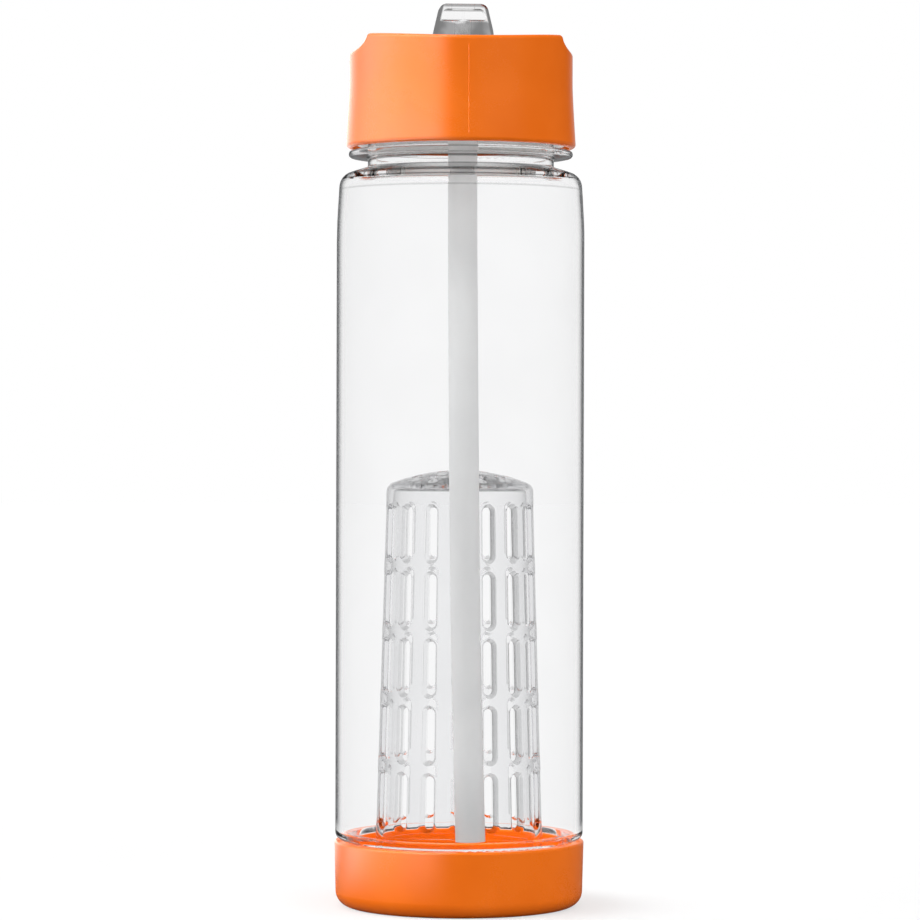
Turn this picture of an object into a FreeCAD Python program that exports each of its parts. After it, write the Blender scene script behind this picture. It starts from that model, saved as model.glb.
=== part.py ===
import FreeCAD
import Part
import math
import os

# Fruit infuser bottle in millimetres: +Z up, origin in the middle of the resting face, front towards -Y.

# Bottle wall
BODY_RADIUS = 36.5
BODY_WALL = 2.0
BODY_STRAIGHT = 180.5
BODY_CORNER = 2.4
LEAN_HEIGHT = 15.0
LEAN_INSET = 0.9
LEAN_RADIUS = 150.0
SHOULDER_ROUND = 4.5
SHOULDER_INNER_ROUND = 2.6
SHOULDER_RISE = 2.6
LEDGE_THICK = 1.8
LEDGE_ROUND = 1.2

# Neck with its flange
SHOULDER_WIDTH = 9.1
NECK_WALL = 2.2
NECK_GAP = 2.8
NECK_ROOT_ROUND = 0.6
NECK_INNER_ROUND = 2.0
NECK_FINISH = 13.6
FLANGE_WIDTH = 5.6
FLANGE_THICK = 2.0
FLANGE_ROUND = 0.9
LIP_ROUND = 0.6

# Lower neck with the groove of its seal ring
LOWER_NECK_STEP = 3.9
LOWER_NECK_WALL = 2.8
LOWER_NECK_LENGTH = 14.9
RING_SECTION = 1.0
RING_GAP = 0.3
RING_LIFT = 2.8

# Screw-on base
BASE_HEIGHT = 19.3
BASE_OVERHANG = 0.3
BASE_TAPER = 0.5
BASE_FLOOR = 3.2
BASE_THREAD_SPACE = 1.2
BASE_SEAT_GAP = 0.2
BASE_FOOT_ROUND = 4.5
BASE_RIM_ROUND = 0.6
BASE_INNER_ROUND = 0.4
RECESS_DEPTH = 1.2
FOOT_WIDTH = 4.6
RECESS_ROUND = 0.5

# Collar and hooks that hold the basket on the base
COLLAR_GAP = 1.1
COLLAR_WALL = 1.7
COLLAR_HEIGHT = 8.3
HOOK_THICK = 2.9
HOOK_GAP = 0.3
HOOK_ANGLE = 44.0
STOP_ANGLE = 3.2
LUG_REACH = 1.6
LUG_LIFT = 1.8
LUG_ANGLE = 36.0
LUG_COUNT = 3

# Fruit basket
BASKET_NARROWING = 3.5
BASKET_WALL = 2.0
BASKET_HEIGHT = 120.9
BASKET_CORNER = 3.0
BASKET_INNER_CORNER = 1.4
DOME_RADIUS = 55.0
DOME_FLANK = 3.1
SLOT_ROWS = 5
SLOT_COLUMNS = 16
SLOT_RIB = 1.9
SLOT_WIDTH = 5.0
SLOT_FLARE = 1.2
SLOT_LIFT = 20.1
SLOT_TOP_MARGIN = 5.2
DOME_HOLE_RADIUS = 1.5
DOME_HOLE_MARGIN = 5.6
DOME_HOLE_COUNTS = (1, 6, 12)
BASKET_ANGLE = -4.0

# Lid shell
LID_FLANGE_GAP = 0.8
LID_HEIGHT = 30.4
LID_WALL = 1.9
LID_FLARE = 1.0
LID_FLARE_HEIGHT = 17.0
LID_FLARE_RADIUS = 90.0
LID_FOOT_ROUND = 1.2
LID_DISH_RADIUS = 205.0
LID_RIM_ROUND = 1.2
STEP_INSET = 4.5
STEP_ROUND = 4.8
STEP_RISE = 2.2

# Lid liner
LID_THREAD_SPACE = 1.8
LINER_WALL = 1.6
LINER_GAP = 0.2
LINER_LIFT = 0.8
LINER_ROUND = 0.4
DECK_THICK = 1.3
LID_SEAL_THICK = 2.0
LID_SEAL_GAP = 0.3
LID_SEAL_LIP = 0.4

# Spout, its bay and its seal
HINGE_FORWARD = 8.0
SPOUT_HALF_WIDTH = 8.8
SPOUT_TIP_HALF_WIDTH = 6.8
SPOUT_BARREL = 5.0
SPOUT_TIP_HALF_DEPTH = 3.6
SPOUT_REACH = 18.2
SPOUT_STRAIGHT = 9.5
SPOUT_SIDE_RADIUS = 12.0
SPOUT_CORNER = 2.4
SPOUT_EDGE_ROUND = 1.2
SPOUT_BORE = 2.6
MOUTH_WALL = 1.0
MOUTH_LIP = 1.4
MOUTH_DEPTH = 5.0
MOUTH_HALF_WIDTH = 3.4
MOUTH_HALF_DEPTH = 1.4
MOUTH_ROUND = 1.0
TRUNNION_RADIUS = 1.9
TRUNNION_GAP = 0.1
TRUNNION_INSET = 0.3
SPOUT_SIDE_GAP = 0.4
SPOUT_FLOOR_GAP = 0.4
BAY_FRONT_GAP = 3.2
FINGER_ROOM = 13.8
BAY_CORNER = 4.0
SPOUT_SEAL_RADIUS = 4.4
SPOUT_SEAL_GAP = 0.1

# Straw, its nipple and the air valve
STRAW_RADIUS = 4.3
STRAW_WALL = 1.1
STRAW_TOP_GAP = 1.5
STRAW_DROP = 38.0
STRAW_CLEARING = 14.0
STRAW_END_GAP = 0.5
STRAW_DRIFTS = (-0.9, -0.3, 1.2)
STRAW_BEND_SHARE = 0.45
STRAW_MIDDLE_SHARE = 0.5
NIPPLE_LENGTH = 12.0
NIPPLE_GAP = 0.05
NIPPLE_WALL = 0.95
VENT_STEM = 1.5
VENT_GAP = 0.1
VENT_HEAD = 3.5
VENT_HEAD_THICK = 0.8
VENT_KNOB = 2.3
VENT_KNOB_HEIGHT = 1.6

# One overrun for every cut
OVERRUN = 1.0

# Heights that stack up from the resting face
LOWER_SHOULDER_Z = BASE_HEIGHT + BASE_SEAT_GAP
LOWER_LIP_Z = LOWER_SHOULDER_Z - LOWER_NECK_LENGTH
RING_Z = LOWER_LIP_Z + RING_LIFT
LEDGE_Z = LOWER_SHOULDER_Z + LEDGE_THICK
LEAN_Z = LOWER_SHOULDER_Z + BODY_STRAIGHT
SHOULDER_Z = LEAN_Z + LEAN_HEIGHT
NECK_ROOT_Z = SHOULDER_Z + SHOULDER_RISE
FLANGE_Z = NECK_ROOT_Z + NECK_GAP
FLANGE_TOP_Z = FLANGE_Z + FLANGE_THICK
LIP_Z = FLANGE_TOP_Z + NECK_FINISH
DECK_Z = LIP_Z + LID_SEAL_THICK
DECK_TOP_Z = DECK_Z + DECK_THICK
BAY_FLOOR_Z = DECK_TOP_Z + LID_WALL
HINGE_Z = BAY_FLOOR_Z + SPOUT_FLOOR_GAP + SPOUT_BARREL
SPOUT_TIP_Z = HINGE_Z + SPOUT_REACH
LID_Z = FLANGE_TOP_Z + LID_FLANGE_GAP
LID_TOP_Z = LID_Z + LID_HEIGHT
BASKET_CORNER_Z = BASE_FLOOR + BASKET_HEIGHT
SLOT_PITCH = (BASKET_HEIGHT - SLOT_LIFT - SLOT_TOP_MARGIN + SLOT_RIB) / SLOT_ROWS
SLOT_LENGTH = SLOT_PITCH - SLOT_RIB
COLLAR_TOP_Z = BASE_FLOOR + COLLAR_HEIGHT
HOOK_Z = COLLAR_TOP_Z - HOOK_THICK

# Radii that fit into one another
BODY_INNER = BODY_RADIUS - BODY_WALL
NECK_RADIUS = BODY_RADIUS - SHOULDER_WIDTH
NECK_INNER = NECK_RADIUS - NECK_WALL
FLANGE_RADIUS = NECK_RADIUS + FLANGE_WIDTH
LOWER_NECK_RADIUS = BODY_RADIUS - LOWER_NECK_STEP
LOWER_NECK_INNER = LOWER_NECK_RADIUS - LOWER_NECK_WALL
BASE_RADIUS = BODY_RADIUS + BASE_OVERHANG
BASE_INNER = LOWER_NECK_RADIUS + BASE_THREAD_SPACE
BASE_FOOT_RADIUS = BASE_RADIUS - BASE_TAPER
RECESS_RADIUS = BASE_FOOT_RADIUS - BASE_FOOT_ROUND - FOOT_WIDTH - RECESS_DEPTH
RING_RADIUS = BASE_INNER - RING_GAP - RING_SECTION
GROOVE_RADIUS = RING_RADIUS - RING_SECTION - RING_GAP
COLLAR_RADIUS = LOWER_NECK_INNER - COLLAR_GAP
COLLAR_INNER = COLLAR_RADIUS - COLLAR_WALL
LUG_RADIUS = COLLAR_INNER - HOOK_GAP
BASKET_FOOT = LUG_RADIUS - LUG_REACH
BASKET_TOP = BASKET_FOOT - BASKET_NARROWING
DOME_HOLE_PITCH = (BASKET_TOP - BASKET_WALL - DOME_HOLE_MARGIN) / (len(DOME_HOLE_COUNTS) - 1)
LINER_INNER = NECK_RADIUS + LID_THREAD_SPACE
LINER_RADIUS = LINER_INNER + LINER_WALL
LID_RADIUS = LINER_RADIUS + LINER_GAP + LID_WALL
BAY_HALF_WIDTH = SPOUT_HALF_WIDTH + SPOUT_SIDE_GAP
BAY_FRONT_Y = -HINGE_FORWARD - SPOUT_BARREL - BAY_FRONT_GAP
BAY_BACK_Y = -HINGE_FORWARD + SPOUT_REACH + FINGER_ROOM
NIPPLE_RADIUS = STRAW_RADIUS - STRAW_WALL - NIPPLE_GAP
NIPPLE_BORE = NIPPLE_RADIUS - NIPPLE_WALL
VENT_X = (BAY_HALF_WIDTH + LID_WALL + NECK_INNER - LID_SEAL_LIP) / 2

UP = FreeCAD.Vector(0, 0, 1)
ACROSS = FreeCAD.Vector(1, 0, 0)
ALONG = FreeCAD.Vector(0, 1, 0)
ORIGIN = FreeCAD.Vector(0, 0, 0)
FULL_TURN = 360.0
SAME_POINT = 1e-7


def side_view(radius, height):
    """Point of the plane through the axis that the turned pieces start from."""
    return FreeCAD.Vector(radius, 0, height)


def rounded_wire(corners, place):
    """Closed wire through corners (u, v, rounding), set in space by place."""
    flats = [FreeCAD.Vector(u, v, 0) for u, v, rounding in corners]
    bends = []
    for i, here in enumerate(flats):
        rounding = corners[i][2]
        back = (flats[i - 1] - here).normalize()
        ahead = (flats[(i + 1) % len(flats)] - here).normalize()
        half = back.getAngle(ahead) / 2
        inward = back + ahead
        if rounding == 0 or inward.Length == 0:
            bends.append((here, here, here))
            continue
        inward.normalize()
        reach = rounding / math.tan(half)
        crown = here + inward * (rounding / math.sin(half) - rounding)
        bends.append((here + back * reach, crown, here + ahead * reach))
    edges = []
    for i, (entry, crown, leave) in enumerate(bends):
        bend = [place(p.x, p.y) for p in (entry, crown, leave)]
        if not entry.isEqual(leave, SAME_POINT):
            edges.append(Part.Arc(*bend).toShape())
        following = bends[(i + 1) % len(bends)][0]
        if not leave.isEqual(following, SAME_POINT):
            edges.append(Part.LineSegment(bend[2], place(following.x, following.y)).toShape())
    return Part.Wire(edges)


def turned(corners):
    """Solid of revolution about the axis from corners (radius, height, rounding)."""
    return Part.Face(rounded_wire(corners, side_view)).revolve(ORIGIN, UP, FULL_TURN)


def prism(corners, place, direction):
    """Straight solid on a rounded outline."""
    return Part.Face(rounded_wire(corners, place)).extrude(direction)


def ring_part(inner, outer, low, high, middle_turn, span):
    """Part of a square-edged ring, its middle at middle_turn degrees."""
    corners = [(inner, low, 0), (outer, low, 0), (outer, high, 0), (inner, high, 0)]
    part = Part.Face(rounded_wire(corners, side_view)).revolve(ORIGIN, UP, span)
    part.rotate(ORIGIN, UP, middle_turn - span / 2)
    return part


def basket_radius(height):
    """Outer radius of the basket's tapered wall at a height."""
    return BASKET_FOOT - BASKET_NARROWING * (height - BASE_FLOOR) / BASKET_HEIGHT


def bottle_body():
    """Clear wall, open at both ends, with shoulder, neck, flange and lower neck."""
    neck_inner_z = NECK_ROOT_Z - BODY_WALL
    shoulder_inner_z = SHOULDER_Z - BODY_WALL
    groove_low = RING_Z - RING_SECTION - RING_GAP
    groove_high = RING_Z + RING_SECTION + RING_GAP
    outside = [
        (LOWER_NECK_INNER, LOWER_LIP_Z, LIP_ROUND),
        (LOWER_NECK_RADIUS, LOWER_LIP_Z, LIP_ROUND),
        (LOWER_NECK_RADIUS, groove_low, 0),
        (GROOVE_RADIUS, groove_low, 0),
        (GROOVE_RADIUS, groove_high, 0),
        (LOWER_NECK_RADIUS, groove_high, 0),
        (LOWER_NECK_RADIUS, LOWER_SHOULDER_Z, BASE_INNER_ROUND),
        (BODY_RADIUS, LOWER_SHOULDER_Z, BODY_CORNER),
        (BODY_RADIUS, LEAN_Z, LEAN_RADIUS),
        (BODY_RADIUS - LEAN_INSET, SHOULDER_Z, SHOULDER_ROUND),
        (NECK_RADIUS, NECK_ROOT_Z, NECK_ROOT_ROUND),
        (NECK_RADIUS, FLANGE_Z, NECK_ROOT_ROUND),
        (FLANGE_RADIUS, FLANGE_Z, FLANGE_ROUND),
        (FLANGE_RADIUS, FLANGE_TOP_Z, FLANGE_ROUND),
        (NECK_RADIUS, FLANGE_TOP_Z, NECK_ROOT_ROUND),
        (NECK_RADIUS, LIP_Z, LIP_ROUND),
    ]
    inside = [
        (NECK_INNER, LIP_Z, LIP_ROUND),
        (NECK_INNER, neck_inner_z, NECK_INNER_ROUND),
        (BODY_INNER - LEAN_INSET, shoulder_inner_z, SHOULDER_INNER_ROUND),
        (BODY_INNER, LEAN_Z, LEAN_RADIUS),
        (BODY_INNER, LEDGE_Z, LEDGE_ROUND),
        (LOWER_NECK_INNER, LEDGE_Z, LEDGE_ROUND),
    ]
    return turned(outside + inside)


def base_seal():
    """Round silicone ring in the groove of the lower neck."""
    return Part.makeTorus(RING_RADIUS, RING_SECTION, FreeCAD.Vector(0, 0, RING_Z), UP)


def base_cap():
    """Screw-on base with foot ring, collar and the inward hooks that hold the basket."""
    cup = turned([
        (0, RECESS_DEPTH, 0),
        (RECESS_RADIUS, RECESS_DEPTH, RECESS_ROUND),
        (RECESS_RADIUS + RECESS_DEPTH, 0, RECESS_ROUND),
        (BASE_FOOT_RADIUS, 0, BASE_FOOT_ROUND),
        (BASE_RADIUS, BASE_HEIGHT, BASE_RIM_ROUND),
        (BASE_INNER, BASE_HEIGHT, BASE_RIM_ROUND),
        (BASE_INNER, BASE_FLOOR, BASE_INNER_ROUND),
        (COLLAR_RADIUS, BASE_FLOOR, BASE_INNER_ROUND),
        (COLLAR_RADIUS, COLLAR_TOP_Z, BASE_INNER_ROUND),
        (COLLAR_INNER, COLLAR_TOP_Z, 0),
        (COLLAR_INNER, BASE_FLOOR, 0),
        (0, BASE_FLOOR, 0),
    ])
    hook_inner = basket_radius(HOOK_Z) + HOOK_GAP
    hook_outer = COLLAR_INNER + COLLAR_WALL / 2
    for i in range(LUG_COUNT):
        turn = BASKET_ANGLE + FULL_TURN * i / LUG_COUNT
        hook = ring_part(hook_inner, hook_outer, HOOK_Z, COLLAR_TOP_Z, turn, HOOK_ANGLE)
        stop_turn = turn - (HOOK_ANGLE - STOP_ANGLE) / 2
        stop = ring_part(hook_inner, hook_outer, BASE_FLOOR, HOOK_Z, stop_turn, STOP_ANGLE)
        cup = cup.fuse([hook, stop])
    return cup.removeSplitter()


def dome_corners(radius, edge, flank, apex_z, edge_rounding):
    """Outline of a domed top from the axis to its edge, and the height of that edge."""
    slope = math.asin((edge - flank) / radius)
    reach = radius * math.tan(slope / 2)
    edge_z = apex_z - (edge - reach) * math.tan(slope)
    return [(0, apex_z, 0), (reach, apex_z, radius), (edge, edge_z, edge_rounding)], edge_z


def basket_blank():
    """Tapered cup with a domed closed top and an open foot."""
    outside, edge_z = dome_corners(DOME_RADIUS, BASKET_TOP, DOME_FLANK, 0, BASKET_CORNER)
    apex_z = BASKET_CORNER_Z - edge_z
    outside, edge_z = dome_corners(DOME_RADIUS, BASKET_TOP, DOME_FLANK, apex_z, BASKET_CORNER)
    inner_top = BASKET_TOP - BASKET_WALL
    inner_apex = apex_z - BASKET_WALL
    inside, edge_z = dome_corners(
        DOME_RADIUS - BASKET_WALL, inner_top, DOME_FLANK, inner_apex, BASKET_INNER_CORNER)
    foot = [(BASKET_FOOT, BASE_FLOOR, 0), (BASKET_FOOT - BASKET_WALL, BASE_FLOOR, 0)]
    return turned(outside + foot + inside[::-1])


def slot_cutter(height):
    """Flared round-ended cutter of one slot along +X: wide outside the wall, narrower inside."""
    outer = basket_radius(height)
    near = outer - BASKET_WALL - OVERRUN
    far = outer + OVERRUN
    slope = SLOT_FLARE / BASKET_WALL
    narrow = SLOT_WIDTH / 2 - slope * (BASKET_WALL + OVERRUN)
    wide = SLOT_WIDTH / 2 + slope * OVERRUN
    half_straight = (SLOT_LENGTH - SLOT_WIDTH) / 2
    sides = [(near, -narrow, 0), (far, -wide, 0), (far, wide, 0), (near, narrow, 0)]
    low = height - half_straight
    high = height + half_straight
    middle = prism(sides, lambda u, v: FreeCAD.Vector(u, v, low), UP * (high - low))
    ends = []
    for end_z in (low, high):
        ends.append(Part.makeCone(narrow, wide, far - near, FreeCAD.Vector(near, 0, end_z), ACROSS))
    return middle.fuse(ends).removeSplitter()


def dome_holes():
    """Upright cutters of the small holes in the dome, ring by ring."""
    low_z = BASKET_CORNER_Z - BASKET_WALL - BASKET_CORNER
    holes = []
    for ring, count in enumerate(DOME_HOLE_COUNTS):
        place = FreeCAD.Vector(ring * DOME_HOLE_PITCH, 0, low_z)
        for i in range(count):
            hole = Part.makeCylinder(DOME_HOLE_RADIUS, BASKET_HEIGHT, place)
            hole.rotate(ORIGIN, UP, FULL_TURN * (i + 1 / 2) / count)
            holes.append(hole)
    return holes


def slot_cutters():
    """Cutters of every slot, half a column clear of the seam of the turned wall."""
    slots = []
    for row in range(SLOT_ROWS):
        cutter = slot_cutter(BASE_FLOOR + SLOT_LIFT + SLOT_LENGTH / 2 + row * SLOT_PITCH)
        for column in range(SLOT_COLUMNS):
            slot = cutter.copy()
            slot.rotate(ORIGIN, UP, FULL_TURN * (column + 1 / 2) / SLOT_COLUMNS)
            slots.append(slot)
    return slots


def infuser_basket():
    """Fruit basket: blank, pierced dome, rows of flared slots and bayonet lugs."""
    basket = basket_blank().cut(dome_holes() + slot_cutters())
    basket.rotate(ORIGIN, UP, FULL_TURN / SLOT_COLUMNS / 2)
    lug_low = BASE_FLOOR + LUG_LIFT
    lug_high = HOOK_Z - HOOK_GAP
    lug_inner = BASKET_FOOT - BASKET_WALL / 2
    lugs = []
    for i in range(LUG_COUNT):
        lugs.append(ring_part(lug_inner, LUG_RADIUS, lug_low, lug_high, FULL_TURN * i / LUG_COUNT, LUG_ANGLE))
    basket = basket.fuse(lugs)
    basket.rotate(ORIGIN, UP, BASKET_ANGLE)
    return basket


def lid_envelope(inset):
    """Outside of the lid, taken in by an inset: flared skirt, dished top, straight side steps."""
    top_z = LID_TOP_Z + STEP_RISE + STEP_ROUND
    envelope = turned([
        (0, LID_Z, 0),
        (LID_RADIUS + LID_FLARE - inset, LID_Z, LID_FOOT_ROUND),
        (LID_RADIUS - inset, LID_Z + LID_FLARE_HEIGHT, LID_FLARE_RADIUS),
        (LID_RADIUS - inset, top_z, 0),
        (0, top_z, 0),
    ])
    length = (LID_RADIUS + OVERRUN) * 2
    start_y = -length / 2
    dish_z = LID_TOP_Z + LID_DISH_RADIUS
    dish = Part.makeCylinder(LID_DISH_RADIUS + inset, length, FreeCAD.Vector(0, start_y, dish_z), ALONG)
    envelope = envelope.cut(dish)
    step_x = LID_RADIUS - STEP_INSET + STEP_ROUND
    for side in (-1, 1):
        corner = FreeCAD.Vector(side * step_x, start_y, LID_TOP_Z + STEP_RISE)
        envelope = envelope.cut(Part.makeCylinder(STEP_ROUND + inset, length, corner, ALONG))
    return envelope


def bay_block(grow, low, high):
    """Round-cornered block in the place of the spout's bay."""
    half_width = BAY_HALF_WIDTH + grow
    front = BAY_FRONT_Y - grow
    back = BAY_BACK_Y + grow
    rounding = BAY_CORNER + grow
    corners = [
        (-half_width, front, rounding),
        (half_width, front, rounding),
        (half_width, back, rounding),
        (-half_width, back, rounding),
    ]
    return prism(corners, lambda u, v: FreeCAD.Vector(u, v, low), UP * (high - low))


def lid_shell():
    """Hollow lid with the spout's bay, the bearings of the spout and the well of its seal."""
    outside = lid_envelope(0)
    rims = [edge for edge in outside.Edges if edge.CenterOfMass.z > LID_TOP_Z - STEP_ROUND]
    outside = outside.makeFillet(LID_RIM_ROUND, rims)
    hollow = lid_envelope(LID_WALL)
    hollow = hollow.fuse(Part.makeCylinder(LID_RADIUS + LID_FLARE - LID_WALL, OVERRUN * 2,
                                           FreeCAD.Vector(0, 0, LID_Z - OVERRUN)))
    shell = outside.cut(hollow)
    trough = bay_block(LID_WALL, DECK_TOP_Z, LID_TOP_Z + STEP_RISE).common(outside)
    shell = shell.fuse(trough)
    shell = shell.cut(bay_block(0, BAY_FLOOR_Z, LID_TOP_Z + STEP_RISE + STEP_ROUND))
    bearing_length = (BAY_HALF_WIDTH + LID_WALL + OVERRUN) * 2
    bearing = Part.makeCylinder(
        TRUNNION_RADIUS + TRUNNION_GAP, bearing_length,
        FreeCAD.Vector(-bearing_length / 2, -HINGE_FORWARD, HINGE_Z), ACROSS)
    well = Part.makeCylinder(
        SPOUT_SEAL_RADIUS + SPOUT_SEAL_GAP, LID_WALL + OVERRUN * 2,
        FreeCAD.Vector(0, -HINGE_FORWARD, DECK_TOP_Z - OVERRUN))
    return shell.cut([bearing, well]).removeSplitter()


def lid_insert():
    """Liner: skirt for the neck's thread, deck, straw nipple and vent hole."""
    skirt_z = LID_Z + LINER_LIFT
    liner = turned([
        (LINER_INNER, skirt_z, LINER_ROUND),
        (LINER_RADIUS, skirt_z, LINER_ROUND),
        (LINER_RADIUS, DECK_TOP_Z, LINER_ROUND),
        (0, DECK_TOP_Z, 0),
        (0, DECK_Z, 0),
        (LINER_INNER, DECK_Z, 0),
    ])
    nipple_z = DECK_Z - NIPPLE_LENGTH
    nipple = Part.makeCylinder(
        NIPPLE_RADIUS, NIPPLE_LENGTH + DECK_THICK / 2, FreeCAD.Vector(0, -HINGE_FORWARD, nipple_z))
    bore = Part.makeCylinder(
        NIPPLE_BORE, NIPPLE_LENGTH + DECK_THICK + OVERRUN * 2,
        FreeCAD.Vector(0, -HINGE_FORWARD, nipple_z - OVERRUN))
    vent = Part.makeCylinder(
        VENT_STEM + VENT_GAP, DECK_THICK + OVERRUN * 2,
        FreeCAD.Vector(VENT_X, 0, DECK_Z - OVERRUN))
    return liner.fuse(nipple).cut([bore, vent]).removeSplitter()


def lid_seal():
    """Flat silicone ring between the lip of the neck and the deck."""
    inner = NECK_INNER - LID_SEAL_LIP
    outer = LINER_INNER - LID_SEAL_GAP
    return turned([(inner, LIP_Z, 0), (outer, LIP_Z, 0), (outer, DECK_Z, 0), (inner, DECK_Z, 0)])


def mouthpiece():
    """Tapered part of the spout above the hinge, where a front and a side outline meet."""
    straight_z = HINGE_Z + SPOUT_STRAIGHT
    front = [
        (-SPOUT_HALF_WIDTH, HINGE_Z, 0),
        (SPOUT_HALF_WIDTH, HINGE_Z, 0),
        (SPOUT_HALF_WIDTH, straight_z, SPOUT_SIDE_RADIUS),
        (SPOUT_TIP_HALF_WIDTH, SPOUT_TIP_Z, SPOUT_CORNER),
        (-SPOUT_TIP_HALF_WIDTH, SPOUT_TIP_Z, SPOUT_CORNER),
        (-SPOUT_HALF_WIDTH, straight_z, SPOUT_SIDE_RADIUS),
    ]
    side = [
        (-SPOUT_BARREL, HINGE_Z, 0),
        (SPOUT_BARREL, HINGE_Z, 0),
        (SPOUT_TIP_HALF_DEPTH, SPOUT_TIP_Z, 0),
        (-SPOUT_TIP_HALF_DEPTH, SPOUT_TIP_Z, 0),
    ]
    depth = SPOUT_BARREL * 2
    width = SPOUT_HALF_WIDTH * 2
    wide = prism(front, lambda u, v: FreeCAD.Vector(u, -SPOUT_BARREL, v), ALONG * depth)
    deep = prism(side, lambda u, v: FreeCAD.Vector(-SPOUT_HALF_WIDTH, u, v), ACROSS * width)
    blank = wide.common(deep).removeSplitter()
    rims = [edge for edge in blank.Edges if edge.CenterOfMass.z > HINGE_Z]
    return blank.makeFillet(SPOUT_EDGE_ROUND, rims)


def narrowed(foot, tip, length, drop):
    """Half size at a drop below the tip, on a straight side that narrows over a length."""
    return tip + (foot - tip) * drop / length


def mouth_chamber():
    """Hollow under the lip of the spout, a wall inside its front and side outlines."""
    floor_z = SPOUT_TIP_Z - MOUTH_DEPTH
    top_z = SPOUT_TIP_Z - MOUTH_LIP
    taper = SPOUT_REACH - SPOUT_STRAIGHT
    floor_width = narrowed(SPOUT_HALF_WIDTH, SPOUT_TIP_HALF_WIDTH, taper, MOUTH_DEPTH) - MOUTH_WALL
    top_width = narrowed(SPOUT_HALF_WIDTH, SPOUT_TIP_HALF_WIDTH, taper, MOUTH_LIP) - MOUTH_WALL
    floor_depth = narrowed(SPOUT_BARREL, SPOUT_TIP_HALF_DEPTH, SPOUT_REACH, MOUTH_DEPTH) - MOUTH_WALL
    top_depth = narrowed(SPOUT_BARREL, SPOUT_TIP_HALF_DEPTH, SPOUT_REACH, MOUTH_LIP) - MOUTH_WALL
    front = [
        (-floor_width, floor_z, MOUTH_ROUND),
        (floor_width, floor_z, MOUTH_ROUND),
        (top_width, top_z, SPOUT_CORNER),
        (-top_width, top_z, SPOUT_CORNER),
    ]
    side = [
        (-floor_depth, floor_z, MOUTH_ROUND),
        (floor_depth, floor_z, MOUTH_ROUND),
        (top_depth, top_z, MOUTH_ROUND),
        (-top_depth, top_z, MOUTH_ROUND),
    ]
    wide = prism(front, lambda u, v: FreeCAD.Vector(u, -SPOUT_BARREL, v), ALONG * (SPOUT_BARREL * 2))
    deep = prism(side, lambda u, v: FreeCAD.Vector(-SPOUT_HALF_WIDTH, u, v), ACROSS * (SPOUT_HALF_WIDTH * 2))
    return wide.common(deep)


def mouth_slot():
    """Round-ended opening through the lip."""
    corners = [
        (-MOUTH_HALF_WIDTH, -MOUTH_HALF_DEPTH, MOUTH_HALF_DEPTH),
        (MOUTH_HALF_WIDTH, -MOUTH_HALF_DEPTH, MOUTH_HALF_DEPTH),
        (MOUTH_HALF_WIDTH, MOUTH_HALF_DEPTH, MOUTH_HALF_DEPTH),
        (-MOUTH_HALF_WIDTH, MOUTH_HALF_DEPTH, MOUTH_HALF_DEPTH),
    ]
    foot_z = SPOUT_TIP_Z - MOUTH_LIP - MOUTH_ROUND
    return prism(corners, lambda u, v: FreeCAD.Vector(u, v, foot_z), UP * (MOUTH_LIP + MOUTH_ROUND + OVERRUN))


def flip_spout():
    """Drinking spout: barrel with trunnions, tapered mouthpiece, flow bore, chamber and mouth."""
    hinge = FreeCAD.Vector(0, 0, HINGE_Z)
    barrel = Part.makeCylinder(
        SPOUT_BARREL, SPOUT_HALF_WIDTH * 2, hinge - ACROSS * SPOUT_HALF_WIDTH, ACROSS)
    reach = BAY_HALF_WIDTH + LID_WALL - TRUNNION_INSET
    trunnion = Part.makeCylinder(TRUNNION_RADIUS, reach * 2, hinge - ACROSS * reach, ACROSS)
    bore_length = SPOUT_BARREL + SPOUT_REACH - MOUTH_DEPTH + OVERRUN * 2
    bore = Part.makeCylinder(SPOUT_BORE, bore_length, hinge - UP * (SPOUT_BARREL + OVERRUN))
    spout = mouthpiece().fuse([barrel, trunnion]).cut([bore, mouth_chamber(), mouth_slot()])
    spout.translate(FreeCAD.Vector(0, -HINGE_FORWARD, 0))
    return spout.removeSplitter()


def spout_seal():
    """Silicone disc in the well of the bay, with the flow bore."""
    height = HINGE_Z - SPOUT_BARREL - SPOUT_SEAL_GAP - DECK_TOP_Z
    place = FreeCAD.Vector(0, -HINGE_FORWARD, DECK_TOP_Z)
    disc = Part.makeCylinder(SPOUT_SEAL_RADIUS, height, place)
    return disc.cut(Part.makeCylinder(SPOUT_BORE, height, place))


def vent_valve():
    """Silicone mushroom through the deck: thin head below, knob above."""
    valve = turned([
        (0, DECK_Z - VENT_HEAD_THICK, 0),
        (VENT_HEAD, DECK_Z - VENT_HEAD_THICK, VENT_HEAD_THICK / 2),
        (VENT_HEAD, DECK_Z, 0),
        (VENT_STEM, DECK_Z, 0),
        (VENT_STEM, DECK_TOP_Z, 0),
        (VENT_KNOB, DECK_TOP_Z, 0),
        (VENT_STEM, DECK_TOP_Z + VENT_KNOB_HEIGHT, VENT_HEAD_THICK / 2),
        (0, DECK_TOP_Z + VENT_KNOB_HEIGHT, 0),
    ])
    valve.translate(FreeCAD.Vector(VENT_X, 0, 0))
    return valve


def straw_points():
    """Route of the straw: down from the nipple, out over the basket, down the gap beside it."""
    end_z = LEDGE_Z + STRAW_END_GAP
    clear_z = BASKET_CORNER_Z + STRAW_CLEARING
    middle_z = end_z + (clear_z - end_z) * STRAW_MIDDLE_SHARE
    points = [
        FreeCAD.Vector(0, -HINGE_FORWARD, DECK_Z - STRAW_TOP_GAP),
        FreeCAD.Vector(0, -HINGE_FORWARD, DECK_Z - STRAW_DROP),
    ]
    for drift, height in zip(STRAW_DRIFTS, (clear_z, middle_z, end_z)):
        gap_middle = (basket_radius(height) + BODY_INNER) / 2
        points.append(FreeCAD.Vector(drift, -gap_middle, height))
    return points


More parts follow.
